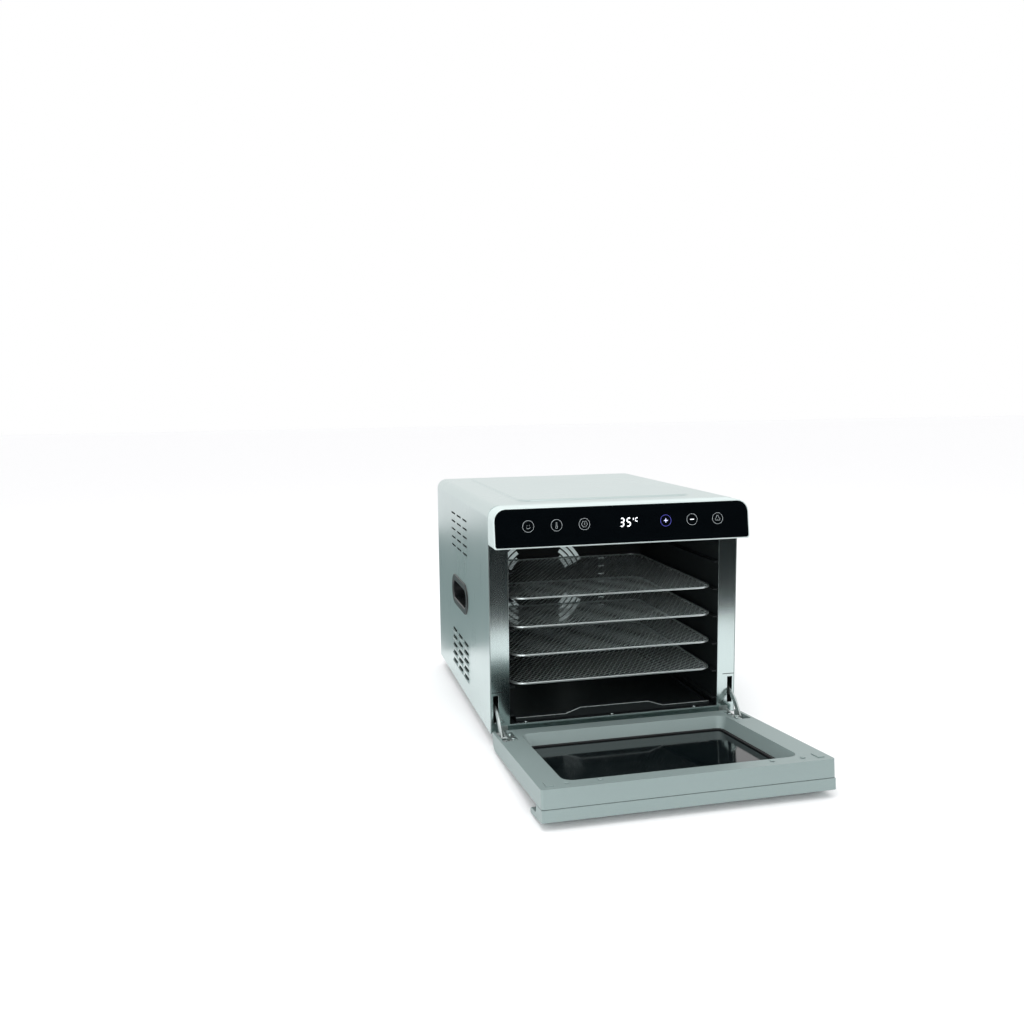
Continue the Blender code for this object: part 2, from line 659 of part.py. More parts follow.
# Everything at the door's lower corners is laid out for the left side and mirrored for the right.
PIN = 0.0025                  # hinge pin radius
EYE = 0.0046                  # radius of the eyes round it
STAY_PIN = 0.0020
STAY_DEPTH = AXIS_DEPTH + 0.001          # stay pivot, on the closed door
STAY_HEIGHT = AXIS_HEIGHT + 0.024
POCKET = (-0.1685, -0.1550, 0.005, 0.070)                # pocket in the door: x to x, z to z
POCKET_DEPTH = 0.0145
WEB = (-0.1586, -0.1568)      # hinge bracket's web on the door, from x to x
FLANGE_PLATE = (-0.1575, -0.1490, 0.0300, 0.0650)        # its screwed flange: x to x, z to z
FLANGE_BACK = DOOR_BACK - 0.0014         # the flange is sunk into the door's inner face
FLANGE_THICK = 0.0012
SINK = (-0.1560, -0.1484, 0.0275, 0.0665)
WEB_FRONT = -0.0115           # outer edge of the web beside the flange
STAY_STUB = (-0.1675, -0.1580)
LUG = (-0.1619, -0.1601)      # lug of the hinge mount on the cabinet, from x to x
PIN_ENDS = (-0.1610, -0.1552)
MOUNT_PLATE = (-0.1610, -0.1500, 0.0190, 0.0270)         # its plate against the jamb
MOUNT_BACK = -GAP
MOUNT_FRONT = -0.0014
SCREW_X = -0.1525
SCREW_HEIGHTS = (0.036, 0.058)
SHANK = 0.0014                # radius of a screw's shank
SCREW_LENGTH = 0.010
HEAD_PROFILE = ((0.0032, GAP), (0.0032, 0.0010), (0.0020, 0.0018))       # radius, height of the head
STAY_TURN = radians(27)       # how far the lever turns in space while the door opens
REACH = 0.010                 # how far cutters stand out of the door


def mirrored(shape, side):
    """The left-hand shape for side -1, or its mirror image."""
    if side > 0:
        shape.transform(Matrix.Diagonal((-1, 1, 1, 1)))
    return shape


def screw(z):
    """A pan-head screw into the door's inner face."""
    profile = ((SHANK, -SCREW_LENGTH), (SHANK, GAP), *HEAD_PROFILE)
    return loft([[(u, FLANGE_BACK + height, v) for u, v in circle(SCREW_X, z, radius, 12)]
                 for radius, height in profile])


def screw_hole(z):
    return cylinder_y(SCREW_X, z, SHANK + GAP, FLANGE_BACK - SCREW_LENGTH - GAP, FLANGE_BACK + GAP, 10)


def build_corner(side, name, frame):
    """Pocket, bracket, screws, pin and lever of one lower corner of the door."""
    def placed(shape):
        return closed_axis(mirrored(shape, side))

    x0, x1, z0, z1 = POCKET
    pocket = placed(box(x0, x1, DOOR_BACK - POCKET_DEPTH, REACH, z0, z1))
    combine(frame, tool(f"corner_pocket_{name}", pocket, DOOR), 'DIFFERENCE')
    x0, x1, z0, z1 = SINK
    sink = placed(box(x0, x1, FLANGE_BACK - FLANGE_THICK - GAP, REACH, z0, z1))
    combine(frame, tool(f"flange_sink_{name}", sink, DOOR), 'DIFFERENCE')

    # The bracket's web reaches from the eye round the hinge pin up to the flange.
    x0, x1, foot, head = FLANGE_PLATE
    web = arc(AXIS_DEPTH, AXIS_HEIGHT, EYE, 180, 360, 10)
    web += [(AXIS_DEPTH + EYE - 0.0002, foot), (FLANGE_BACK, foot), (FLANGE_BACK, head),
            (WEB_FRONT, head), (WEB_FRONT, foot)]
    bore = circle(AXIS_DEPTH, AXIS_HEIGHT, PIN + GAP, 14)
    bracket = add(f"hinge_bracket_{name}", placed(sideways(web, *WEB, [bore])), GALVANISED, DOOR)
    holes = [circle(SCREW_X, z, SHANK + GAP, 10) for z in SCREW_HEIGHTS]
    flange = upright(rounded(x0, x1, foot, head, 0), FLANGE_BACK - FLANGE_THICK, FLANGE_BACK, holes)
    combine(bracket, tool(f"bracket_flange_{name}", placed(flange), DOOR), 'UNION')
    stub = cylinder_x(STAY_DEPTH, STAY_HEIGHT, STAY_PIN, *STAY_STUB, 12)
    combine(bracket, tool(f"stay_pin_{name}", placed(stub), DOOR), 'UNION')

    for number, z in enumerate(SCREW_HEIGHTS, 1):
        combine(frame, tool(f"screw_hole_{name}_{number}", placed(screw_hole(z)), DOOR), 'DIFFERENCE')
        add(f"bracket_screw_{name}_{number}", placed(screw(z)), CHROME, DOOR)

    # The mount is a lug with the hinge pin on it, on a small plate against the jamb.
    x0, x1, foot, head = MOUNT_PLATE
    lug = arc(AXIS_DEPTH, AXIS_HEIGHT, EYE, 90, 270, 8)
    lug += [(MOUNT_BACK, AXIS_HEIGHT - 0.0010), (MOUNT_BACK, head), (MOUNT_FRONT, head),
            (MOUNT_FRONT, AXIS_HEIGHT + EYE)]
    mount = add(f"hinge_mount_{name}", mirrored(sideways(lug, *LUG), side), GALVANISED)
    plate = mirrored(box(x0, x1, MOUNT_FRONT, MOUNT_BACK, foot, head), side)
    combine(mount, tool(f"mount_plate_{name}", plate), 'UNION')
    pin = mirrored(cylinder_x(AXIS_DEPTH, AXIS_HEIGHT, PIN, *PIN_ENDS, 14), side)
    combine(mount, tool(f"hinge_pin_{name}", pin), 'UNION')


STAY_LENGTH = 0.063
STAY_RISE = 0.010             # how far its middle arches up
STAY_BREADTH = 0.0042         # half its breadth, which grows over the last part
STAY_FLARE = 0.0016
STAY_THICK = 0.0022
FLARE_START = 0.85


def stay_outline():
    """Section of a stay lever, from its pivot at (0, 0) back along +Y, arched upwards."""
    steps = 12
    upper = []
    lower = []
    for i in range(steps + 1):
        share = i / steps
        y = STAY_LENGTH * share
        z = STAY_RISE * sin(pi * share)
        slope = STAY_RISE * pi / STAY_LENGTH * cos(pi * share)
        scale = 1 / hypot(1, slope)
        half = STAY_BREADTH + STAY_FLARE * max(0.0, share - FLARE_START) / (1 - FLARE_START)
        upper.append((y - slope * scale * half, z + scale * half))
        lower.append((y + slope * scale * half, z - scale * half))
    nose = [tuple(Matrix.Rotation(-pi * i / 8, 2) @ Vector(lower[0])) for i in range(1, 8)]
    return nose + upper + lower[::-1]


def build_stay(side, name):
    """A lever that turns on the stay pin; its empty lies on that pin, turned as with the door open."""
    y, z = opened(STAY_DEPTH, STAY_HEIGHT)
    pivot = empty(f"stay_axis_{name}", (0.0, y, z), ROOT, STAY_TURN)
    bore = circle(0.0, 0.0, STAY_PIN + GAP, 12)
    half = STAY_THICK / 2
    lever = mirrored(sideways(stay_outline(), -SLOT_X - half, -SLOT_X + half, [bore]), side)
    add(f"stay_lever_{name}", lever, CHROME, pivot)


CATCH = (0.1560, 0.1640, 0.2400, 0.2560)                 # catch magnets: x to x, z to z
CATCH_DEPTH = 0.0060
CATCH_PROUD = 0.0009
BUFFER_PLACES = (-0.140, -0.102, 0.102, 0.140)
BUFFER_HEIGHT = 0.2500
BUFFER_PROFILE = ((0.0032, GAP), (0.0030, 0.0009), (0.0018, 0.0014))     # radius, height


def build_door_fittings(frame):
    for side, name in SIDES:
        x0, x1 = sorted((side * CATCH[0], side * CATCH[1]))
        z0, z1 = CATCH[2:]
        pocket = box(x0 - GAP, x1 + GAP, DOOR_BACK - CATCH_DEPTH - GAP, REACH, z0 - GAP, z1 + GAP)
        combine(frame, tool(f"catch_pocket_{name}", closed_axis(pocket), DOOR), 'DIFFERENCE')
        block = box(x0, x1, DOOR_BACK - CATCH_DEPTH, DOOR_BACK + CATCH_PROUD, z0, z1)
        add(f"catch_magnet_{name}", closed_axis(block), BLACK_PLASTIC, DOOR)
    for number, x in enumerate(BUFFER_PLACES, 1):
        rings = [[(u, DOOR_BACK + height, v) for u, v in circle(x, BUFFER_HEIGHT, radius, 12)]
                 for radius, height in BUFFER_PROFILE]
        add(f"door_buffer_{number}", closed_axis(loft(rings)), RUBBER, DOOR)


# ---------------------------------------------------------------- trays
TRAY_HALF = 0.1430            # over the rim wire
TRAY_FRONT = 0.0040
TRAY_BACK = 0.2940
TRAY_CORNER = 0.022
MESH_HALF = 0.0003            # half the thickness of the sheet that stands for the wire mesh


def build_tray(number, level):
    z = level_height(level)
    carrier = empty(f"tray_{number}_slide", (0.0, 0.0, z), ROOT)
    x = TRAY_HALF - WIRE
    path = rounded(-x, x, TRAY_FRONT + WIRE, TRAY_BACK - WIRE, TRAY_CORNER - WIRE, 5)
    add(f"tray_{number}_rim", tube(path, WIRE), CHROME, carrier)
    inset = 2 * WIRE + GAP
    sheet = slab(rounded(-TRAY_HALF + inset, TRAY_HALF - inset, TRAY_FRONT + inset, TRAY_BACK - inset,
                         TRAY_CORNER - inset, 5), -MESH_HALF, MESH_HALF)
    add(f"tray_{number}_mesh", sheet, CHROME, carrier)


DRIP_HALF = 0.1370
DRIP_BOTTOM = OPENING_FLOOR + 0.0005
DRIP_TOP = 0.0335
TAB_HEIGHT = 0.0405
TAB_FOOT = 0.069
TAB_HEAD = 0.048
DRIP_WALL = 0.0010


def build_drip_tray():
    """A shallow tray whose front wall rises into a tab that a finger can pull."""
    def ring(inset, z, tab):
        x = DRIP_HALF - inset
        y0 = TRAY_FRONT + 0.002 + inset
        y1 = TRAY_BACK - inset
        front = [(-x, 0), (-TAB_FOOT, 0), (-TAB_HEAD, 1), (TAB_HEAD, 1), (TAB_FOOT, 0), (x, 0)]
        points = [(u, y0, TAB_HEIGHT if tab and raised else z) for u, raised in front]
        return points + [(x, y1, z), (-x, y1, z)]
    carrier = empty("drip_tray_slide", (0.0, 0.0, DRIP_BOTTOM), ROOT)
    shape = loft([ring(0.0, DRIP_BOTTOM, False), ring(0.0, DRIP_TOP, True), ring(DRIP_WALL, DRIP_TOP, True),
                  ring(DRIP_WALL, DRIP_BOTTOM + DRIP_WALL, False)])
    shape.transform(Matrix.Translation((0.0, 0.0, -DRIP_BOTTOM)))
    add("drip_tray", shape, DARK_STEEL, carrier, smooth=False)


build_shell()
build_base_pan()
build_rear_cover()
build_power_inlet()
for side, name in SIDES:
    build_grip(side, f"grip_{name}")
build_feet()
build_front_frame()
build_chamber()
build_baffle()
build_control_head()
build_air_system()
build_fan()
door_frame = build_door_frame()
build_door_glass()
build_handle()
build_door_fittings(door_frame)
for side, name in SIDES:
    build_corner(side, name, door_frame)
    build_stay(side, name)
for number, level in enumerate(TRAY_LEVELS, 1):
    build_tray(number, level)
build_drip_tray()
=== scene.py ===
"""The looks of a cabinet food dehydrator: steel shell, touch panel, drop-down door and wire trays.

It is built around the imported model, in metres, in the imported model's frame. The sections follow the
order in which the object is put together, and each holds the sizes, finish and making of its piece.
"""

from math import acos, cos, pi, radians, sin, sqrt

import bmesh
import bpy
from mathutils import Matrix, Vector


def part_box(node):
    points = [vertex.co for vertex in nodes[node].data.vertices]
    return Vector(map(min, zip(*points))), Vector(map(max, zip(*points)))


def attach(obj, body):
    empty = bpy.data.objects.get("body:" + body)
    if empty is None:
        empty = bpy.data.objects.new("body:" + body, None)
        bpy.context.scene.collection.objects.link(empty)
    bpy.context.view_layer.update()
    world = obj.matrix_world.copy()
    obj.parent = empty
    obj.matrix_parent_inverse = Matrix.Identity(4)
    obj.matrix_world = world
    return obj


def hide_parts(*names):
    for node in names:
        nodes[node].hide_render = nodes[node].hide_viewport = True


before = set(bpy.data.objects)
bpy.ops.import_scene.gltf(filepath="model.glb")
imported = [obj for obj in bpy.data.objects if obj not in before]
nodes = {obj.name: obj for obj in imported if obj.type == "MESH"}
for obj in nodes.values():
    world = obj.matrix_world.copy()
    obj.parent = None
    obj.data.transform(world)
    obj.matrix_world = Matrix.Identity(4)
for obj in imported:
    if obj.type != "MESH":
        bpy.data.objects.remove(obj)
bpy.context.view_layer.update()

# ================================================================ studio
# A pale floor under a white sky, one large soft lamp overhead and a small one that lights the chamber.
# Flags that only reflections meet give the polished steel its contrast: two dark ones in front and a
# grey one on the floor to the left.

LENS = 33.890625                        # mm
CAMERA_PLACE = (-0.4215, -1.2638, 0.4597)
CAMERA_AZIMUTH = radians(-13.3)
CAMERA_ELEVATION = radians(7.07)
CAMERA_ROLL = radians(0.65)


def add_camera():
    back = Vector((sin(CAMERA_AZIMUTH) * cos(CAMERA_ELEVATION),
                   -cos(CAMERA_AZIMUTH) * cos(CAMERA_ELEVATION), sin(CAMERA_ELEVATION)))
    level = back.cross(Vector((0, 0, -1))).normalized()
    up = back.cross(level)
    across = cos(CAMERA_ROLL) * level - sin(CAMERA_ROLL) * up
    over = back.cross(across)
    lens = bpy.data.cameras.new("camera")
    lens.lens = LENS
    lens.clip_start = 0.01
    camera = bpy.data.objects.new("camera", lens)
    turn = Matrix((across, over, back)).transposed()
    camera.matrix_world = Matrix.Translation(CAMERA_PLACE) @ turn.to_4x4()
    bpy.context.scene.collection.objects.link(camera)
    bpy.context.scene.camera = camera


def plain(name, colour, roughness):
    """An even finish, for the studio only."""
    made = bpy.data.materials.new(name)
    made.use_nodes = True
    shader = made.node_tree.nodes["Principled BSDF"]
    shader.inputs["Base Color"].default_value = (*colour, 1.0)
    shader.inputs["Roughness"].default_value = roughness
    shader.inputs["Specular IOR Level"].default_value = 0.1
    return made


def add_sheet(name, corners, finish):
    mesh = bpy.data.meshes.new(name)
    mesh.from_pydata(corners, [], [(0, 1, 2, 3)])
    mesh.materials.append(finish)
    sheet = bpy.data.objects.new(name, mesh)
    bpy.context.scene.collection.objects.link(sheet)
    return sheet


def level_card(x_low, x_high, y_low, y_high, z):
    """Corners of a card that lies level."""
    return [(x_low, y_low, z), (x_high, y_low, z), (x_high, y_high, z), (x_low, y_high, z)]


def add_flag(name, corners, shade):
    """A card that only reflections see."""
    card = add_sheet(name, corners, plain(name, shade, 0.9))
    card.visible_camera = False
    card.visible_diffuse = False
    card.visible_shadow = False
    card.visible_transmission = False


def add_lamp(name, place, target, size, power):
    light = bpy.data.lights.new(name, 'AREA')
    light.shape = 'SQUARE'
    light.size = size
    light.energy = power
    lamp = bpy.data.objects.new(name, light)
    way = Vector(place) - Vector(target)
    lamp.matrix_world = Matrix.Translation(place) @ way.to_track_quat('Z', 'Y').to_matrix().to_4x4()
    bpy.context.scene.collection.objects.link(lamp)


def add_sky(strength):
    world = bpy.data.worlds.new("sky")
    world.use_nodes = True
    background = world.node_tree.nodes["Background"]
    background.inputs["Color"].default_value = (1.0, 1.0, 1.0, 1.0)
    background.inputs["Strength"].default_value = strength
    bpy.context.scene.world = world


FLOOR = 12.0                            # half its side
FLAG_HALF = 3.0
FLAG_FAR = -2.6
FLAG_NEAR = -0.68
FLAG_TOP = 1.9
FLAG_LIFT = 0.002                       # of the flags that lie on the floor
DARK = (0.008, 0.010, 0.011)
GREY = (0.19, 0.25, 0.25)
add_camera()
add_sky(1.0)
add_sheet("floor", level_card(-FLOOR, FLOOR, -FLOOR, FLOOR, 0.0), plain("floor", (0.98, 0.98, 0.99), 0.8))
add_flag("front_flag", [(-FLAG_HALF, FLAG_FAR, 0.0), (FLAG_HALF, FLAG_FAR, 0.0),
                        (FLAG_HALF, FLAG_FAR, FLAG_TOP), (-FLAG_HALF, FLAG_FAR, FLAG_TOP)], DARK)
add_flag("floor_flag", level_card(-FLAG_HALF, FLAG_HALF, FLAG_FAR, FLAG_NEAR, FLAG_LIFT), DARK)
add_flag("side_flag", level_card(-1.4, -0.2, 0.40, 1.95, FLAG_LIFT), GREY)
add_lamp("overhead", (-0.3, -0.2, 1.9), (0.0, 0.0, 0.1), 1.4, 13.0)
add_lamp("front_fill", (-0.75, -1.7, 0.62), (0.0, 0.0, 0.12), 0.5, 7.0)
bpy.context.scene.view_settings.view_transform = 'Standard'

# ================================================================ outer shell
# One sheet of brushed stainless steel, bent over the top in two round bends. The top carries a pressed
# panel, and each side has three columns of slots above the grip and three of hooded slots below it.


class Port:
    """One socket of a node tree. Arithmetic on ports adds Math nodes; node() adds any other node.

    Settings are set before the values or links of the sockets.
    """

    def __init__(self, tree, socket=None):
        self.tree = tree
        self.socket = socket

    def node(self, kind, settings=None, values=None, out=0):
        made = self.tree.nodes.new(kind)
        for name, value in (settings or {}).items():
            setattr(made, name, value)
        for key, value in (values or {}).items():
            if isinstance(value, Port):
                self.tree.links.new(value.socket, made.inputs[key])
            else:
                made.inputs[key].default_value = value
        return Port(self.tree, made.outputs[out])

    def maths(self, operation, *terms):
        return self.node("ShaderNodeMath", {"operation": operation}, dict(enumerate(terms)))

    def __add__(self, other):
        return self.maths("ADD", self, other)

    def __sub__(self, other):
        return self.maths("SUBTRACT", self, other)

    def __rsub__(self, other):
        return self.maths("SUBTRACT", other, self)

    def __mul__(self, other):
        return self.maths("MULTIPLY", self, other)

    def __truediv__(self, other):
        return self.maths("DIVIDE", self, other)

    def __lt__(self, other):
        return self.maths("LESS_THAN", self, other)

    def __gt__(self, other):
        return self.maths("GREATER_THAN", self, other)

    def __pow__(self, other):
        return self.maths("POWER", self, other)

    def __abs__(self):
        return self.maths("ABSOLUTE", self)

    __radd__ = __add__
    __rmul__ = __mul__


def noise(place, scale, stretch=(1.0, 1.0, 1.0), detail=2.0):
    """Cloudy values from 0 to 1; scale counts features to the metre, stretch multiplies it per axis."""
    spread = place.node("ShaderNodeMapping", values={"Vector": place, "Scale": stretch})
    return place.node("ShaderNodeTexNoise", values={"Vector": spread, "Scale": scale, "Detail": detail})


def tint(share, first, second):
    """A colour between two, by a share from 0 to 1."""
    return share.node("ShaderNodeMix", {"data_type": 'RGBA'},
                      {0: share, 6: (*first, 1.0), 7: (*second, 1.0)}, out=2)


def bump(height, depth, strength):
    """A normal from a height of 0 to 1, which stands for depth metres."""
    return height.node("ShaderNodeBump", values={"Height": height, "Distance": depth, "Strength": strength})


def finish(name, pattern, **fixed):
    """A material. pattern takes the object's own space and gives the sockets that vary."""
    made = bpy.data.materials.new(name)
    made.use_nodes = True
    tree = made.node_tree
    shader = tree.nodes["Principled BSDF"]
    for socket, value in fixed.items():
        shader.inputs[socket.replace("_", " ")].default_value = value
    place = Port(tree).node("ShaderNodeTexCoord", out="Object")
    for socket, port in pattern(place).items():
        tree.links.new(port.socket, shader.inputs[socket])
    return made


def brushed(grain, dark=(0.50, 0.59, 0.58), light=(0.60, 0.695, 0.685), gloss=0.13):
    """Brushed stainless steel; grain multiplies the pattern per axis, small along the brush lines."""
    def pattern(place):
        lines = noise(place, 1.0, grain, 4.0)
        fine = noise(place, 2.6, grain, 2.0)
        cloud = noise(place, 9.0, detail=3.0)
        mark = lines * 0.6 + fine * 0.4
        return {"Base Color": tint(mark, dark, light),
                "Roughness": gloss + mark * 0.10 + cloud * 0.08,
                "Normal": bump(mark, 0.000006, 0.4)}
    return pattern


SHELL_STEEL = finish("shell_steel", brushed((7.0, 900.0, 7.0), gloss=0.20), Metallic=1.0)


def smooth(mesh, angle=40.0):
    mesh.shade_smooth()
    mesh.set_sharp_from_angle(angle=radians(angle))


def settled(name, shape):
    """The mesh of a finished shape, with its faces turned outwards."""
    mesh = bpy.data.meshes.new(name)
    bmesh.ops.recalc_face_normals(shape, faces=shape.faces[:])
    shape.to_mesh(mesh)
    shape.free()
    return mesh


def place_piece(name, mesh, coat, body, stands_for=(), angle=40.0):
    """A finished mesh or shape becomes a piece of the object, on its body and with its finish."""
    if isinstance(mesh, bmesh.types.BMesh):
        mesh = settled(name, mesh)
    if not mesh.materials:
        mesh.materials.append(coat)
    smooth(mesh, angle)
    piece = bpy.data.objects.new(name, mesh)
    bpy.context.scene.collection.objects.link(piece)
    even = piece.modifiers.new("even_shading", 'WEIGHTED_NORMAL')
    even.keep_sharp = True
    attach(piece, body)
    if stands_for:
        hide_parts(*stands_for)


def evaluated(thing):
    """The plain mesh that an object's modifiers make."""
    depsgraph = bpy.context.evaluated_depsgraph_get()
    depsgraph.update()
    return bpy.data.meshes.new_from_object(thing.evaluated_get(depsgraph))


def grown(name, coat, sizes, build):
    """The plain mesh that a Geometry Nodes tree makes; build gets a port of the tree and its sizes."""
    kinds = {int: "NodeSocketInt", float: "NodeSocketFloat", tuple: "NodeSocketVector"}
    tree = bpy.data.node_groups.new(name, "GeometryNodeTree")
    sockets = {}
    for label, value in sizes.items():
        sockets[label] = tree.interface.new_socket(label, in_out='INPUT', socket_type=kinds[type(value)])
    tree.interface.new_socket("Geometry", in_out='OUTPUT', socket_type="NodeSocketGeometry")
    start = tree.nodes.new("NodeGroupInput")
    made = build(Port(tree), {label: Port(tree, start.outputs[label]) for label in sizes})
    real = made.node("GeometryNodeRealizeInstances", values={"Geometry": made})
    coated = real.node("GeometryNodeSetMaterial", values={"Geometry": real, "Material": coat})
    end = tree.nodes.new("NodeGroupOutput")
    tree.links.new(coated.socket, end.inputs[0])
    carrier = bpy.data.objects.new(name, bpy.data.meshes.new(name))
    bpy.context.scene.collection.objects.link(carrier)
    modifier = carrier.modifiers.new(name, 'NODES')
    modifier.node_group = tree
    for label, value in sizes.items():
        modifier[sockets[label].identifier] = value
    mesh = evaluated(carrier)
    mesh.name = name
    bpy.data.objects.remove(carrier, do_unlink=True)
    shape = bmesh.new()
    shape.from_mesh(mesh)
    bmesh.ops.recalc_face_normals(shape, faces=shape.faces[:])
    shape.to_mesh(mesh)
    shape.free()
    return mesh


SHELL_LOW, SHELL_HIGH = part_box("outer_shell")
FRONT = SHELL_LOW.y                     # front edge of the shell
BACK = SHELL_HIGH.y
HALF = SHELL_HIGH.x
FOOT = SHELL_LOW.z
TOP = SHELL_HIGH.z
SHEET = 0.0008
BEND = 0.015                            # radius of the two bends
PANEL_EDGE = 0.050                      # pressed panel to the shell's sides
PANEL_FRONT = 0.037
PANEL_BACK = 0.020
PANEL_RISE = 0.0016
PANEL_SLOPE = 0.0026
PANEL_CORNER = 0.016

GRIP_LOW, GRIP_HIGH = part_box("grip_left")
GRIP_Y = (GRIP_LOW.y + GRIP_HIGH.y) / 2
GRIP_Z = (GRIP_LOW.z + GRIP_HIGH.z) / 2
GRIP_LENGTH = GRIP_HIGH.y - GRIP_LOW.y
GRIP_HEIGHT = GRIP_HIGH.z - GRIP_LOW.z
GRIP_FLANGE = 0.0075

VENT_LENGTH = 0.0315
VENT_HEIGHT = 0.0026
VENT_CUT = 0.010                        # how deep the cutter of a slot is
HOLE_CUT = 0.01                         # and how far that of a grip's hole reaches either way
VENT_COLUMNS = 3
VENT_ROWS = 5
VENT_STEP_Y = 0.0461
VENT_STEP_Z = 0.01238
UPPER_VENTS_Z = 0.2534                  # middle rows
LOWER_VENTS_Z = 0.0720
VENT_GRID = {"Step Y": VENT_STEP_Y, "Step Z": VENT_STEP_Z, "Columns": VENT_COLUMNS, "Rows": VENT_ROWS}


def panel_rise(x, y):
    """How far the pressed panel stands up at a point of the top."""
    half_x = HALF - PANEL_EDGE
    half_y = (BACK - PANEL_BACK - FRONT - PANEL_FRONT) / 2
    middle_y = FRONT + PANEL_FRONT + half_y
    out_x = max(abs(x) - half_x + PANEL_CORNER, 0.0)
    out_y = max(abs(y - middle_y) - half_y + PANEL_CORNER, 0.0)
    inside = PANEL_CORNER - sqrt(out_x ** 2 + out_y ** 2)
    if out_x == 0.0 or out_y == 0.0:
        inside = min(half_x - abs(x), half_y - abs(y - middle_y))
    share = min(max(inside / PANEL_SLOPE, 0.0), 1.0)
    return PANEL_RISE * share * share * (3 - 2 * share)


def steps(start, end, count):
    return [start + (end - start) * i / count for i in range(count + 1)]


def shell_sheet():
    """The outer face of the bent sheet, with the panel pressed up."""
    edge = HALF - PANEL_EDGE
    inner = edge - PANEL_CORNER
    across = [*steps(-edge, -inner, 10), *steps(inner, edge, 10)]
    profile = [(-HALF, FOOT)]
    for i in range(9):
        a = pi - pi / 2 * i / 8
        profile.append((-HALF + BEND + BEND * cos(a), TOP - BEND + BEND * sin(a)))
    profile += [(x, TOP) for x in across]
    profile += [(-x, z) for x, z in profile[9::-1]]
    front = FRONT + PANEL_FRONT
    back = BACK - PANEL_BACK
    depths = [FRONT, *steps(front, front + PANEL_CORNER, 10), *steps(back - PANEL_CORNER, back, 10), BACK]
    shape = bmesh.new()
    rows = []
    for y in depths:
        rows.append([shape.verts.new((x, y, z + (panel_rise(x, y) if z == TOP else 0.0)))
                     for x, z in profile])
    for low, high in zip(rows, rows[1:]):
        for i in range(len(profile) - 1):
            shape.faces.new((low[i], high[i], high[i + 1], low[i + 1]))
    return shape


def columns(port, size):
    """Points in a grid that stands upright on one side of the shell."""
    grid = port.node("GeometryNodeMeshGrid", values={
        "Size X": size["Step Y"] * (size["Columns"] - 1.0), "Size Y": size["Step Z"] * (size["Rows"] - 1.0),
        "Vertices X": size["Columns"], "Vertices Y": size["Rows"]})
    return grid.node("GeometryNodeTransform", values={
        "Geometry": grid, "Translation": size["Middle"], "Rotation": (pi / 2, 0.0, pi / 2)})


def slot_bars(port, size):
    """A bar through the sheet at each slot."""
    bar = port.node("GeometryNodeMeshCube", values={"Size": size["Bar"]})
    return port.node("GeometryNodeInstanceOnPoints", values={"Points": columns(port, size), "Instance": bar})


def part_of(place, axis):
    """One coordinate of a vector; axis is 0, 1 or 2."""
    return place.node("ShaderNodeSeparateXYZ", values={0: place}, out=axis)


def hoods(port, size):
    """A hood under each slot: full out at the slot, running into the sheet below, wider at its foot."""
    block = port.node("GeometryNodeMeshCube", values={
        "Size": (2.0, 1.0, 1.0), "Vertices X": 2, "Vertices Y": 13, "Vertices Z": 5})
    place = port.node("GeometryNodeInputPosition")
    x, y, z = (part_of(place, axis) for axis in range(3))
    rise = z + 0.5
    reach = rise ** 0.75 * (1.0 - abs(y * 2.0) ** 6.0) * size["Reach"] - size["Root"]
    out = ((x > 0.0) * reach - (x < 0.0) * size["Root"] * 2.0) * size["Side"]
    wide = y * (size["Length"] + (1.0 - rise) * size["Flare"])
    moved = place.node("ShaderNodeCombineXYZ", values={
        0: out, 1: wide, 2: rise * size["Drop"] - size["Drop"]})
    hood = block.node("GeometryNodeSetPosition", values={"Geometry": block, "Position": moved})
    return hood.node("GeometryNodeInstanceOnPoints", values={
        "Points": columns(port, size), "Instance": hood})


def stadium(inset, rounds=12):
    """Outline of a grip as (y, z), inset from its flange's edge, anticlockwise."""
    radius = GRIP_HEIGHT / 2 - inset
    straight = GRIP_LENGTH / 2 - GRIP_HEIGHT / 2
    points = []
    for i in range(2 * (rounds + 1)):
        turned = i > rounds
        a = -pi / 2 + pi * (i - turned) / rounds
        middle = GRIP_Y + (-straight if turned else straight)
        points.append((middle + radius * cos(a), GRIP_Z + radius * sin(a)))
    return points


def loft(rings, looped=False):
    """Skin between rings of as many points each; the ends are capped, or joined in a loop."""
    shape = bmesh.new()
    rows = [[shape.verts.new(point) for point in ring] for ring in rings]
    pairs = list(zip(rows, rows[1:]))
    if looped:
        pairs.append((rows[-1], rows[0]))
    else:
        shape.faces.new(rows[0])
        shape.faces.new(rows[-1])
    count = len(rows[0])
    for low, high in pairs:
        for i in range(count):
            shape.faces.new((low[i], low[i - 1], high[i - 1], high[i]))
    return shape


def join(name, meshes):
    """Several meshes as one, still as separate bodies."""
    whole = bmesh.new()
    for mesh in meshes:
        whole.from_mesh(mesh)
    made = bpy.data.meshes.new(name)
    whole.to_mesh(made)
    whole.free()
    return made


def loose(name, mesh):
    """An object that is only worked on and then taken away."""
    if isinstance(mesh, bmesh.types.BMesh):
        mesh = settled(name, mesh)
    thing = bpy.data.objects.new(name, mesh)
    bpy.context.scene.collection.objects.link(thing)
    return thing


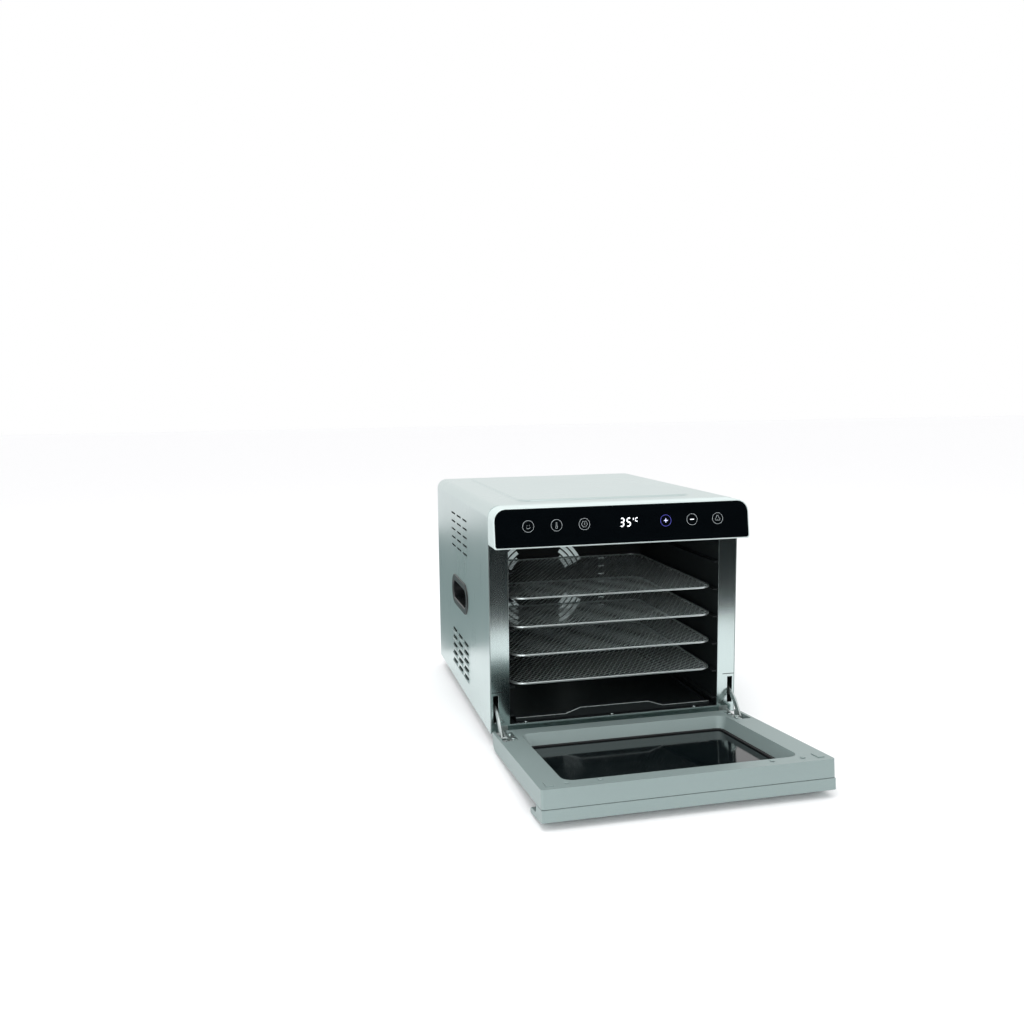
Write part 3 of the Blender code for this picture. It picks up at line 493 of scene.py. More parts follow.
def make_shell():
    cutters = []
    for side in (-1.0, 1.0):
        for label, z in (("upper", UPPER_VENTS_Z), ("lower", LOWER_VENTS_Z)):
            sizes = {**VENT_GRID, "Middle": (side * HALF, GRIP_Y, z),
                     "Bar": (VENT_CUT, VENT_LENGTH, VENT_HEIGHT)}
            cutters.append(grown(f"{label}_slots", SHELL_STEEL, sizes, slot_bars))
        ring = stadium(GRIP_FLANGE)
        hole = loft([[(side * HALF + reach, y, z) for y, z in ring] for reach in (-HOLE_CUT, HOLE_CUT)])
        cutters.append(settled("grip_hole", hole))
    cutter = loose("shell_cutter", join("shell_cutter", cutters))
    sheet = loose("sheet", shell_sheet())
    thick = sheet.modifiers.new("thickness", 'SOLIDIFY')
    thick.thickness = SHEET
    thick.offset = -1.0
    cut = sheet.modifiers.new("slots", 'BOOLEAN')
    cut.operation = 'DIFFERENCE'
    cut.object = cutter
    mesh = evaluated(sheet)
    bpy.data.objects.remove(sheet, do_unlink=True)
    bpy.data.objects.remove(cutter, do_unlink=True)
    mesh.materials.clear()
    place_piece("shell_sheet", mesh, SHELL_STEEL, "cabinet", ["outer_shell"], 30.0)


HOOD_REACH = 0.0034
HOOD_DROP = 0.0062
HOOD_FLARE = 0.0060
HOOD_ROOT = 0.0003                      # how far a hood is set into the sheet
# The hoods are the shell's own steel. Their darker colour is painted shade, for faces that turn down.
SHADED_HOOD_STEEL = finish("hood_steel_painted_shade", brushed((7.0, 900.0, 7.0), (0.20, 0.26, 0.255), (0.30, 0.37, 0.36), 0.26),
                    Metallic=1.0)
make_shell()
for side, label in ((-1.0, "left"), (1.0, "right")):
    hood_sizes = {**VENT_GRID, "Side": side, "Reach": HOOD_REACH, "Root": HOOD_ROOT, "Drop": HOOD_DROP,
                  "Middle": (side * HALF, GRIP_Y, LOWER_VENTS_Z - VENT_HEIGHT / 2),
                  "Length": VENT_LENGTH, "Flare": HOOD_FLARE}
    place_piece(f"vent_hoods_{label}", grown(f"vent_hoods_{label}", SHADED_HOOD_STEEL, hood_sizes, hoods),
                SHADED_HOOD_STEEL, "cabinet")

# ================================================================ base pan, rear cover and inlet
# Zinc-coated sheet closes the shell below and behind. The rear cover has exhaust slots behind the fan
# motor and a moulded mains inlet with three pins; its screws run round the edge.


def galvanised(place):
    """Zinc on steel: pale crystals of slightly different grey, with a faint rolling grain."""
    cells = place.node("ShaderNodeTexVoronoi", values={"Vector": place, "Scale": 170.0}, out="Color")
    crystal = cells.node("ShaderNodeSeparateColor", values={0: cells})
    grain = noise(place, 700.0)
    mark = crystal * 0.7 + grain * 0.3
    return {"Base Color": tint(mark, (0.44, 0.49, 0.485), (0.55, 0.60, 0.59)),
            "Roughness": 0.34 + mark * 0.2, "Normal": bump(grain, 0.00004, 0.4)}


def moulded(dark, light, grain=2200.0, depth=0.00005, gloss=0.34):
    """Moulded plastic with a fine spark-eroded texture."""
    def pattern(place):
        texture = noise(place, grain, detail=3.0)
        cloud = noise(place, 14.0)
        return {"Base Color": tint(cloud * 0.6 + texture * 0.4, dark, light),
                "Roughness": gloss + texture * 0.12 + cloud * 0.06, "Normal": bump(texture, depth, 0.6)}
    return pattern


ZINC = finish("zinc_sheet", galvanised, Metallic=1.0)
BLACK = finish("black_moulding", moulded((0.003, 0.004, 0.0045), (0.008, 0.010, 0.011), gloss=0.26))
BRIGHT = finish("bright_steel", brushed((420.0, 420.0, 420.0)), Metallic=1.0)


def dress(coat, *names):
    """Put a finish on CAD pieces that stay."""
    for name in names:
        for holder in nodes[name].material_slots:
            holder.material = coat


def softened(name, node, width, coat, body, segments=2):
    """A CAD piece with its sharp edges rounded off, as moulding or rolling leaves them."""
    shape = bmesh.new()
    shape.from_mesh(nodes[node].data)
    bmesh.ops.remove_doubles(shape, verts=shape.verts[:], dist=0.00001)
    bmesh.ops.dissolve_limit(shape, angle_limit=radians(1.0), verts=shape.verts[:], edges=shape.edges[:])
    mesh = bpy.data.meshes.new(name)
    shape.to_mesh(mesh)
    shape.free()
    blank = loose(name, mesh)
    edge = blank.modifiers.new("edges", 'BEVEL')
    edge.width = width
    edge.segments = segments
    edge.limit_method = 'ANGLE'
    edge.angle_limit = radians(40.0)
    rounded = evaluated(blank)
    bpy.data.objects.remove(blank, do_unlink=True)
    rounded.materials.clear()
    place_piece(name, rounded, coat, body, [node], 50.0)


SCREW_HEAD = 0.0033
SCREW_RISE = 0.0017
SCREW_TURNS = (0.3, 0.7)                # of the first recess, and more for each one after it


def gathered(parts):
    """Several geometries as one."""
    whole = parts[0].node("GeometryNodeJoinGeometry")
    for part in parts:
        whole.tree.links.new(part.socket, whole.socket.node.inputs[0])
    return whole


def screw_head(port, size):
    """A pan head with a cross recess, lying on the XY plane and facing +Z."""
    head = port.node("GeometryNodeMeshUVSphere", values={
        "Segments": 20, "Rings": 12, "Radius": size["Radius"]})
    flat = head.node("GeometryNodeTransform", values={"Geometry": head, "Scale": size["Flattening"]})
    cross = gathered([port.node("GeometryNodeMeshCube", values={"Size": way})
                      for way in ((1.25, 0.26, 1.0), (0.26, 1.25, 1.0))])
    sized = cross.node("GeometryNodeTransform", values={
        "Geometry": cross, "Translation": size["Recess Place"], "Scale": size["Recess"]})
    return port.node("GeometryNodeMeshBoolean", {"operation": 'DIFFERENCE'},
                     {"Mesh 1": flat, "Mesh 2": sized})


def screws(name, places, facing, radius=SCREW_HEAD):
    """Screw heads at a list of places on the cabinet, all facing one way."""
    sizes = {"Radius": radius, "Flattening": (1.0, 1.0, SCREW_RISE / SCREW_HEAD),
             "Recess": (SCREW_HEAD * 0.9, SCREW_HEAD * 0.9, SCREW_RISE * 1.1),
             "Recess Place": (0.0, 0.0, SCREW_RISE * 0.95)}
    head = grown("screw_head", BRIGHT, sizes, screw_head)
    turn = Vector(facing).to_track_quat('Z', 'Y').to_matrix().to_4x4()
    heads = []
    for i, place in enumerate(places):
        copy = head.copy()
        twist = Matrix.Rotation(SCREW_TURNS[1] * i + SCREW_TURNS[0], 4, 'Z')
        copy.transform(Matrix.Translation(place) @ turn @ twist)
        heads.append(copy)
    place_piece(name, join(name, heads), BRIGHT, "cabinet")


COVER_LOW, COVER_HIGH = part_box("rear_cover")
INLET_LOW, INLET_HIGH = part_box("power_inlet")
COVER_MARGIN = 0.009
COVER_TOP_MARGIN = 0.004                # more of it along the top
PIN_SIZE = (0.0022, 0.0090, 0.0048)
PIN_PLACES = ((-0.0060, -0.0012), (0.0, 0.0016), (0.0060, -0.0012))
PIN_DEPTH = 0.0115
PIN_ROUND = 0.0004
dress(ZINC, "base_pan", "rear_cover")
softened("inlet_moulding", "power_inlet", 0.0004, BLACK, "cabinet")

inlet_x = (INLET_LOW.x + INLET_HIGH.x) / 2
inlet_z = (INLET_LOW.z + INLET_HIGH.z) / 2
pins = bmesh.new()
for dx, dz in PIN_PLACES:
    made = bmesh.ops.create_cube(pins, size=1.0)["verts"]
    bmesh.ops.scale(pins, vec=PIN_SIZE, verts=made)
    bmesh.ops.translate(pins, vec=(inlet_x + dx, INLET_HIGH.y - PIN_DEPTH, inlet_z + dz), verts=made)
bmesh.ops.bevel(pins, geom=pins.edges[:], offset=PIN_ROUND, segments=2, affect='EDGES')
place_piece("inlet_pins", pins, BRIGHT, "cabinet")

cover_places = []
for x in steps(COVER_LOW.x + COVER_MARGIN, COVER_HIGH.x - COVER_MARGIN, 3):
    for z in (COVER_LOW.z + COVER_MARGIN, COVER_HIGH.z - COVER_MARGIN - COVER_TOP_MARGIN):
        cover_places.append((x, COVER_HIGH.y, z))
for x in (COVER_LOW.x + COVER_MARGIN, COVER_HIGH.x - COVER_MARGIN):
    cover_places.append((x, COVER_HIGH.y, (COVER_LOW.z + COVER_HIGH.z) / 2))
screws("rear_screws", cover_places, (0, 1, 0))

# ================================================================ carrying grips and feet
# Each side has a black moulded cup with a flange that lies on the shell. Four turned rubber feet
# stand under the pan.

CUP_DEPTH = 0.020
CUP_WALL = 0.002
CUP_FILLET = (0.0060, 0.0022, 0.0006)   # of the hollow's floor, in three steps
FLANGE_PROUD = 0.0015
GRIP_FIT = 0.0003                       # room between the cup and the sheet
MOUTH_ROUND = 0.0018
FLANGE_ROUND = 0.0011
FOOT_HOLLOW = (0.0048, 0.0012)          # inset and height of the hollow under a foot
FOOT_SOLE = 0.0042                      # inset of the ring that it stands on
FOOT_TAPER = 0.0026
FOOT_ROUND = 0.0018
FOOT_SEAT = 0.0040
FOOT_SIDES = 40
RUBBER = finish("foot_rubber", moulded((0.008, 0.008, 0.009), (0.020, 0.021, 0.022), 900.0, 0.00015, 0.62))


def make_grip(side, label):
    neck = GRIP_FLANGE + GRIP_FIT
    mouth = neck + CUP_WALL
    face = HALF + FLANGE_PROUD
    floor = HALF - CUP_DEPTH
    far, middle, near = CUP_FILLET
    section = [(mouth + far, floor + CUP_WALL), (mouth + middle, floor + CUP_WALL + near),
               (mouth + near, floor + CUP_WALL + middle), (mouth, floor + CUP_WALL + far)]
    for i in range(7):
        a = pi / 2 * i / 6
        section.append((mouth - MOUTH_ROUND * (1 - cos(a)), face - MOUTH_ROUND * (1 - sin(a))))
    for i in range(5):
        a = pi / 2 * i / 4
        section.append((FLANGE_ROUND * (1 - sin(a)), face - FLANGE_ROUND * (1 - cos(a))))
    section += [(0.0, HALF + GRIP_FIT), (neck, HALF + GRIP_FIT), (neck, floor)]
    rings = [[(side * reach, y, z) for y, z in stadium(inset)] for inset, reach in section]
    place_piece(f"carry_grip_{label}", loft(rings), BLACK, "cabinet",
                [f"grip_{label}"], 32.0)


def make_feet():
    feet = []
    names = [f"foot_{along}_{across}" for along in ("front", "rear") for across in ("left", "right")]
    for name in names:
        low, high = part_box(name)
        x, y = (low.x + high.x) / 2, (low.y + high.y) / 2
        wide = (high.x - low.x) / 2
        profile = [(wide - FOOT_HOLLOW[0], FOOT_HOLLOW[1]), (wide - FOOT_SOLE, 0.0)]
        for i in range(6):
            a = pi / 2 * i / 5
            profile.append((wide - FOOT_TAPER + FOOT_ROUND * sin(a), FOOT_ROUND * (1 - cos(a))))
        profile += [(wide, high.z - FOOT_SEAT), (wide, high.z)]
        turns = [2 * pi * k / FOOT_SIDES for k in range(FOOT_SIDES)]
        rings = [[(x + r * cos(a), y + r * sin(a), z) for a in turns] for r, z in profile]
        feet.append(settled(name, loft(rings)))
    place_piece("rubber_feet", join("rubber_feet", feet), RUBBER, "cabinet", names)


make_grip(-1, "left")
make_grip(1, "right")
make_feet()

# ================================================================ front frame
# A flat brushed frame closes the shell in front. Each jamb has a slot that a stay lever enters, and a
# joint line where the lower hinge plate laps over it.

FRAME_STEEL = finish("frame_steel", brushed((900.0, 9.0, 9.0), gloss=0.06), Metallic=1.0)
DARK_LINE = finish("joint_shadow", moulded((0.006, 0.008, 0.009), (0.012, 0.014, 0.015)))
FRAME_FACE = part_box("front_frame")[0].y
LINE_Z = 0.072
LINE_X = (0.1545, 0.1710)
LINE_DEPTH = 0.0003
LINE_HEIGHT = 0.0009
softened("front_frame_sheet", "front_frame", 0.00025, FRAME_STEEL, "cabinet")

lines = bmesh.new()
for side in (-1, 1):
    made = bmesh.ops.create_cube(lines, size=1.0)["verts"]
    bmesh.ops.scale(lines, vec=(LINE_X[1] - LINE_X[0], LINE_DEPTH, LINE_HEIGHT), verts=made)
    bmesh.ops.translate(lines, vec=(side * sum(LINE_X) / 2, FRAME_FACE, LINE_Z), verts=made)
place_piece("jamb_lines", lines, DARK_LINE, "cabinet")

# ================================================================ drying chamber
# Dark coated sheet: two walls with six pressed ledges each, floor and roof. The rear baffle has a
# guard of curved slots before the fan and a column of small air slots beside it.


def coated(place):
    """Dark stoved coating over steel: fine orange peel and a few pale scuffs."""
    peel = noise(place, 420.0)
    cloud = noise(place, 11.0, detail=4.0)
    scuff = noise(place, 60.0, (1.0, 0.05, 1.0), 5.0)
    worn = (scuff > 0.72) * cloud * 0.5
    return {"Base Color": tint(worn, (0.012, 0.016, 0.017), (0.055, 0.065, 0.066)),
            "Roughness": 0.30 + peel * 0.14 + cloud * 0.10, "Normal": bump(peel, 0.00008, 0.5)}


COATED = finish("stoved_coating", coated, Metallic=0.35)
CHAMBER_LOW, CHAMBER_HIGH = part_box("chamber_floor")
BAFFLE_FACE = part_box("air_baffle")[0].y
FAN_LOW, FAN_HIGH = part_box("fan_impeller")
FAN_X = (FAN_LOW.x + FAN_HIGH.x) / 2
FAN_Z = (FAN_LOW.z + FAN_HIGH.z) / 2
dress(COATED, "chamber_wall_left", "chamber_wall_right", "chamber_roof", "chamber_floor", "air_baffle")

GUARD_FIRST = 0.052
GUARD_PITCH = 0.008
GUARD_ROWS = 4
GUARD_WIDTH = 0.0062
GUARD_REACH = 0.0345
GUARD_FOOT = radians(25)
BLADE_DEPTH = 0.0002                    # behind the baffle's face
BLADE_POINTS = 13
BLADE_FLATTENING = (1.0, 0.35, 1.0)
# This finish glows. The glow is painted light that stands in for light shining through the guard's slots
# onto the blades and lips.
GLOWING_GUARD_STEEL = finish("guard_steel_painted_glow", moulded((0.42, 0.50, 0.495), (0.62, 0.70, 0.69), 600.0, 0.0001, 0.40),
                     Emission_Color=(0.6, 0.7, 0.7, 1.0), Emission_Strength=0.4)


def guard_blades(port, size):
    """Curved blades behind the guard slots, each an arc with a flat section, for one row."""
    line = port.node("GeometryNodeMeshLine", values={"Count": size["Points"], "Offset": (1.0, 0.0, 0.0)})
    step = port.node("GeometryNodeInputIndex")
    angle = size["Start"] + step * (size["Sweep"] / (size["Points"] - 1.0))
    place = port.node("ShaderNodeCombineXYZ", values={
        0: size["Radius"] * angle.maths("COSINE", angle), 1: 0.0,
        2: size["Radius"] * angle.maths("SINE", angle)})
    arc = line.node("GeometryNodeSetPosition", values={"Geometry": line, "Position": place})
    curve = arc.node("GeometryNodeMeshToCurve", values={"Mesh": arc})
    section = port.node("GeometryNodeCurvePrimitiveCircle", values={"Resolution": 8, "Radius": size["Half"]})
    blade = curve.node("GeometryNodeCurveToMesh", values={
        "Curve": curve, "Profile Curve": section, "Fill Caps": True})
    return blade.node("GeometryNodeTransform", values={
        "Geometry": blade, "Translation": size["Middle"], "Scale": size["Flattening"]})


def make_guard():
    blades = []
    for row in range(GUARD_ROWS):
        radius = GUARD_FIRST + GUARD_PITCH * row
        sweep = acos(GUARD_REACH / radius) - GUARD_FOOT
        for start in (GUARD_FOOT, pi - GUARD_FOOT - sweep, pi + GUARD_FOOT, -GUARD_FOOT - sweep):
            blades.append(grown("guard_blade", GLOWING_GUARD_STEEL, {
                "Start": start, "Sweep": sweep, "Radius": radius, "Half": GUARD_WIDTH / 2,
                "Points": BLADE_POINTS, "Flattening": BLADE_FLATTENING,
                "Middle": (FAN_X, BAFFLE_FACE + BLADE_DEPTH, FAN_Z)}, guard_blades))
    place_piece("guard_blades", join("guard_blades", blades), GLOWING_GUARD_STEEL, "cabinet")


def slot_lips(port, size):
    """A bent lip in each small slot, one above another."""
    line = port.node("GeometryNodeMeshLine", values={
        "Count": size["Count"], "Start Location": size["First"], "Offset": size["Step"]})
    lip = port.node("GeometryNodeMeshCylinder", {"fill_type": 'NGON'}, {
        "Vertices": 12, "Radius": size["Radius"], "Depth": size["Width"]})
    level = lip.node("GeometryNodeTransform", values={"Geometry": lip, "Rotation": (0.0, pi / 2, 0.0)})
    return line.node("GeometryNodeInstanceOnPoints", values={"Points": line, "Instance": level})


LIPS = 7
LIP_PITCH = 0.013
LIP_FIRST = (0.0785, BAFFLE_FACE + 0.0004, 0.1886)
LIP_WIDTH = 0.0092
LIP_RADIUS = 0.0009
SILL_SCREWS = (-0.124, -0.004, 0.115)
SILL_SCREW_Y = CHAMBER_LOW.y + 0.0036
SILL_SCREW_HEAD = 0.0024
make_guard()
# The lips carry the guard's glowing finish, which is painted light in the small slots.
lip_sizes = {"Count": LIPS, "First": LIP_FIRST, "Step": (0.0, 0.0, -LIP_PITCH), "Radius": LIP_RADIUS,
             "Width": LIP_WIDTH}
place_piece("slot_lips", grown("slot_lips", GLOWING_GUARD_STEEL, lip_sizes, slot_lips), GLOWING_GUARD_STEEL, "cabinet")
screws("sill_screws", [(x, SILL_SCREW_Y, CHAMBER_HIGH.z) for x in SILL_SCREWS], (0, 0, 1), SILL_SCREW_HEAD)

# ================================================================ fan, heater and sensors
# Behind the baffle a paddle wheel turns on the motor's shaft, inside a ring of sheathed heater tube.
# Two small sensors sit on the baffle.


def scorched(place):
    """Sheath of a heater: steel that heat has browned in bands."""
    bands = noise(place, 30.0, detail=3.0)
    fine = noise(place, 500.0)
    return {"Base Color": tint(bands, (0.10, 0.075, 0.06), (0.30, 0.25, 0.21)),
            "Roughness": 0.35 + fine * 0.25, "Normal": bump(fine, 0.00005, 0.5)}


def laminate(place):
    """Circuit board: green lacquer over a faint glass weave."""
    weave = place.node("ShaderNodeTexChecker", values={"Vector": place, "Scale": 1500.0}, out="Fac")
    cloud = noise(place, 60.0)
    return {"Base Color": tint(cloud * 0.7 + weave * 0.3, (0.004, 0.055, 0.02), (0.012, 0.11, 0.045)),
            "Roughness": 0.30 + cloud * 0.2}


SHEATH = finish("heater_sheath", scorched, Metallic=0.9)
LAMINATE = finish("circuit_laminate", laminate)
dress(ZINC, "fan_plate", "fan_motor", "fan_impeller")
dress(BRIGHT, "fan_shaft", "fan_nut", "air_sensor")
dress(SHEATH, "heater_element")
dress(BLACK, "thermal_cutout", "display_module")
dress(LAMINATE, "control_board", "power_board")

# ================================================================ control head
# A light silver moulding fills the front above the door. A black glass panel lies in it almost edge
# to edge, with a lit temperature display and six touch keys printed as thin rings.


def silver(dark, light):
    """Silver-painted moulding: fine metallic flakes under a satin coat."""
    def pattern(place):
        flakes = place.node("ShaderNodeTexVoronoi", values={"Vector": place, "Scale": 1800.0},
                            out="Distance")
        cloud = noise(place, 7.0, detail=3.0)
        peel = noise(place, 900.0)
        return {"Base Color": tint(flakes * 0.45 + cloud * 0.55, dark, light),
                "Roughness": 0.34 + flakes * 0.12 + cloud * 0.06, "Normal": bump(peel, 0.00003, 0.5)}
    return pattern


def polished(dark, light, smear=0.06):
    """Glass with a trace of finger smears in its gloss."""
    def pattern(place):
        smears = noise(place, 28.0, (1.0, 1.0, 2.4), 5.0)
        return {"Base Color": tint(smears, dark, light), "Roughness": 0.03 + smears * smear}
    return pattern


SILVER = finish("silver_moulding", silver((0.56, 0.655, 0.645), (0.66, 0.755, 0.745)), Metallic=0.25)
PANEL_GLASS = finish("panel_glass", polished((0.0008, 0.0014, 0.002), (0.0016, 0.0026, 0.0034)),
                     Specular_IOR_Level=0.25)
softened("control_housing_moulding", "control_housing", 0.0002, SILVER, "cabinet")
softened("control_glass_panel", "control_glass", 0.00035, PANEL_GLASS, "cabinet")

GLASS_LOW, GLASS_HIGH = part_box("control_glass")
GLASS_THICK = 0.0020
GLASS_SLOPE = (GLASS_HIGH.y - GLASS_LOW.y - GLASS_THICK) / (GLASS_HIGH.z - GLASS_LOW.z)
KEY_Z = 0.2935
KEY_RADIUS = 0.0072
STROKE = 0.00013


def on_glass(u, v, lift=0.0001):
    """The point of the slanted panel at x = u and a height v above the row of keys."""
    z = KEY_Z + v
    return (u, GLASS_LOW.y + GLASS_SLOPE * (z - GLASS_LOW.z) - lift, z)


def ring_points(u, v, radius, start=0.0, end=360.0, count=40):
    return [(u + radius * cos(radians(a)), v + radius * sin(radians(a))) for a in steps(start, end, count)]


def lit(name, colour, strength):
    """A print that light shines through, slightly uneven."""
    def pattern(place):
        glow = noise(place, 160.0)
        shade = tint(glow, tuple(0.82 * c for c in colour), colour)
        return {"Base Color": shade, "Emission Color": shade, "Roughness": 0.3 + glow * 0.1}
    return finish(name, pattern, Emission_Strength=strength)


PRINT = lit("key_print", (0.62, 0.68, 0.70), 0.35)
DIGITS = lit("display_light", (0.92, 0.96, 1.0), 1.3)
BLUE = lit("key_light", (0.10, 0.10, 0.55), 0.8)
GLOW = lit("key_glow", (0.62, 0.64, 1.0), 1.1)


def strokes(name, lines, coat, width=STROKE):
    """Thin printed lines on the panel; each line is a list of (u, v) points."""
    curve = bpy.data.curves.new(name, 'CURVE')
    curve.dimensions = '3D'
    curve.bevel_depth = width
    curve.bevel_resolution = 1
    curve.use_fill_caps = True
    for line in lines:
        closed = (Vector(line[0]) - Vector(line[-1])).length < 0.00001
        points = line[:-1] if closed else line
        spline = curve.splines.new('POLY')
        spline.points.add(len(points) - 1)
        spline.use_cyclic_u = closed
        for mark, (u, v) in zip(spline.points, points):
            mark.co = (*on_glass(u, v), 1.0)
    drawn = bpy.data.objects.new(name, curve)
    bpy.context.scene.collection.objects.link(drawn)
    mesh = evaluated(drawn)
    bpy.data.objects.remove(drawn, do_unlink=True)
    mesh.materials.clear()
    place_piece(name, mesh, coat, "cabinet")


KEYS = {"power": -0.128, "warmth": -0.0912, "timer": -0.0546, "more": 0.0553, "less": 0.0917, "fan": 0.1276}


def make_keys():
    power, warmth, timer = KEYS["power"], KEYS["warmth"], KEYS["timer"]
    more, less, fan = KEYS["more"], KEYS["less"], KEYS["fan"]
    lines = [ring_points(u, 0.0, KEY_RADIUS) for name, u in KEYS.items() if name != "more"]
    lines.append(ring_points(timer, 0.0, 0.0040, count=6))
    lines.append([(timer, 0.0022), (timer, -0.0004), (timer + 0.0012, -0.0014)])
    lines.append(ring_points(power, 0.0, 0.0028, 200, 340, 12))
    lines += [[(power + dx, 0.0006), (power + dx, 0.0016)] for dx in (-0.0014, 0.0014)]
    bulb = ring_points(warmth, -0.0026, 0.0014, 115, 425, 16)
    lines.append([*bulb, (warmth + 0.0006, 0.0036), (warmth - 0.0006, 0.0036), bulb[0]])
    for blade in range(3):
        middle = radians(90 + 120 * blade)
        u, v = fan + 0.0019 * cos(middle), 0.0019 * sin(middle)
        lines.append(ring_points(u, v, 0.0017, 120 * blade, 120 * blade + 220, 12))
    strokes("key_rings", lines, PRINT)
    strokes("minus_key", [[(less - 0.0026, 0.0), (less + 0.0026, 0.0)]], DIGITS, 0.0005)
    strokes("plus_ring", [ring_points(more, 0.0, KEY_RADIUS)], BLUE, 0.00016)
    strokes("plus_key", [[(more - 0.0026, 0.0), (more + 0.0026, 0.0)], [(more, -0.0026), (more, 0.0026)]],
            GLOW, 0.00045)


SEGMENTS = {"top": ((0, 2), (1, 2)), "upper_left": ((0, 1), (0, 2)), "upper_right": ((1, 1), (1, 2)),
            "middle": ((0, 1), (1, 1)), "lower_left": ((0, 0), (0, 1)), "lower_right": ((1, 0), (1, 1)),
            "bottom": ((0, 0), (1, 0))}
THREE = ("top", "upper_right", "middle", "lower_right", "bottom")
FIVE = ("top", "upper_left", "middle", "lower_right", "bottom")
LETTER_C = ("top", "upper_left", "lower_left", "bottom")
LEAN = 0.10                             # of the figures, across for each metre of height
FIGURES = (                             # u and v of a corner, width, height, bar and what is lit
    (-0.0070, -0.0050, 0.0044, 0.0100, 0.0015, THREE),
    (0.0020, -0.0050, 0.0044, 0.0100, 0.0015, FIVE),
    (0.0138, 0.0008, 0.0032, 0.0042, 0.0009, LETTER_C),
    (0.0105, 0.0030, 0.0013, 0.0018, 0.0006, SEGMENTS))


def make_digit(shape, u, v, wide, tall, width, names):
    """Bars of a seven-bar figure whose lower left corner is at (u, v)."""
    for name in names:
        ends = [Vector((u + a * wide + LEAN * b * tall / 2, v + b * tall / 2)) for a, b in SEGMENTS[name]]
        along = (ends[1] - ends[0]).normalized()
        across = Vector((-along.y, along.x)) * width / 2
        p = ends[0] + along * width * 0.22
        q = ends[1] - along * width * 0.22
        outline = [p, p + along * width / 2 + across, q - along * width / 2 + across, q,
                   q - along * width / 2 - across, p + along * width / 2 - across]
        low = [shape.verts.new(on_glass(*point, -0.00005)) for point in outline]
        high = [shape.verts.new(on_glass(*point, 0.00015)) for point in outline]
        shape.faces.new(low)
        shape.faces.new(high[::-1])
        for i in range(6):
            shape.faces.new((low[i], low[i - 1], high[i - 1], high[i]))


make_keys()
display = bmesh.new()
for figure in FIGURES:
    make_digit(display, *figure)
place_piece("display_digits", display, DIGITS, "cabinet")

# ================================================================ door
# A silver moulded frame with a deep bevelled recess round a smoked pane, held by a rubber seal. The
# handle is a separate extruded strip along its top edge. It rests open, inner face up.

# The door, handle, buffers and magnets are the head's silver. This darker copy of that silver is painted
# shade.
SHADED_DOOR_SILVER = finish("door_moulding_painted_shade", silver((0.22, 0.285, 0.28), (0.285, 0.355, 0.35)), Metallic=0.20)
SMOKED = finish("smoked_pane", polished((0.002, 0.004, 0.005), (0.005, 0.008, 0.009), 0.08),
                Specular_IOR_Level=0.3)
softened("door_frame_moulding", "door_frame", 0.0006, SHADED_DOOR_SILVER, "door")
softened("door_handle_strip", "door_handle", 0.0005, SHADED_DOOR_SILVER, "door", 3)
dress(SMOKED, "door_glass")
dress(RUBBER, "window_seal")
for n in (1, 2, 3, 4):
    softened(f"buffer_{n}", f"door_buffer_{n}", 0.0003, SHADED_DOOR_SILVER, "door")

# ================================================================ hinges, stays and catches
# Each lower corner has a zinc bracket screwed into a pocket of the door, a hinge mount on the jamb
# and an arched zinc stay lever. Two magnets near the handle hold the door shut.

for side in ("left", "right"):
    softened(f"bracket_{side}", f"hinge_bracket_{side}", 0.0002, ZINC, "door")
    softened(f"mount_{side}", f"hinge_mount_{side}", 0.0002, ZINC, "cabinet")
    softened(f"stay_{side}", f"stay_lever_{side}", 0.0003, ZINC, f"stay_{side}")
    softened(f"magnet_{side}", f"catch_magnet_{side}", 0.0004, SHADED_DOOR_SILVER, "door")
    dress(BRIGHT, *[f"bracket_screw_{side}_{n}" for n in (1, 2)])

# ================================================================ drying trays
# Each tray is a bent rim of bright steel wire, closed by a weld, with stretched mesh welded to it.
# Four trays lie on the ledges; all are alike.

RIM_LOW, RIM_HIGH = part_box("tray_1_rim")
RIM_WIRE = (RIM_HIGH.z - RIM_LOW.z) / 2
RIM_CORNER = 0.0204                     # at the middle of the wire
TRAY_HALF = RIM_HIGH.x - RIM_WIRE
TRAY_LONG = (RIM_HIGH.y - RIM_LOW.y) / 2 - RIM_WIRE
TRAY_Y = (RIM_LOW.y + RIM_HIGH.y) / 2
CELL_ACROSS = 0.0072
CELL_ALONG = 0.0132
STRAND = 0.00040
STRAND_GAP = 0.0002                     # between a strand and its neighbour's bends
STRAND_WELD = 0.0001                    # points nearer than this become one
WIRE_STEEL = finish("wire_steel", brushed((300.0, 300.0, 300.0), (0.66, 0.74, 0.73), (0.82, 0.89, 0.88),
                                          0.25), Metallic=0.9)


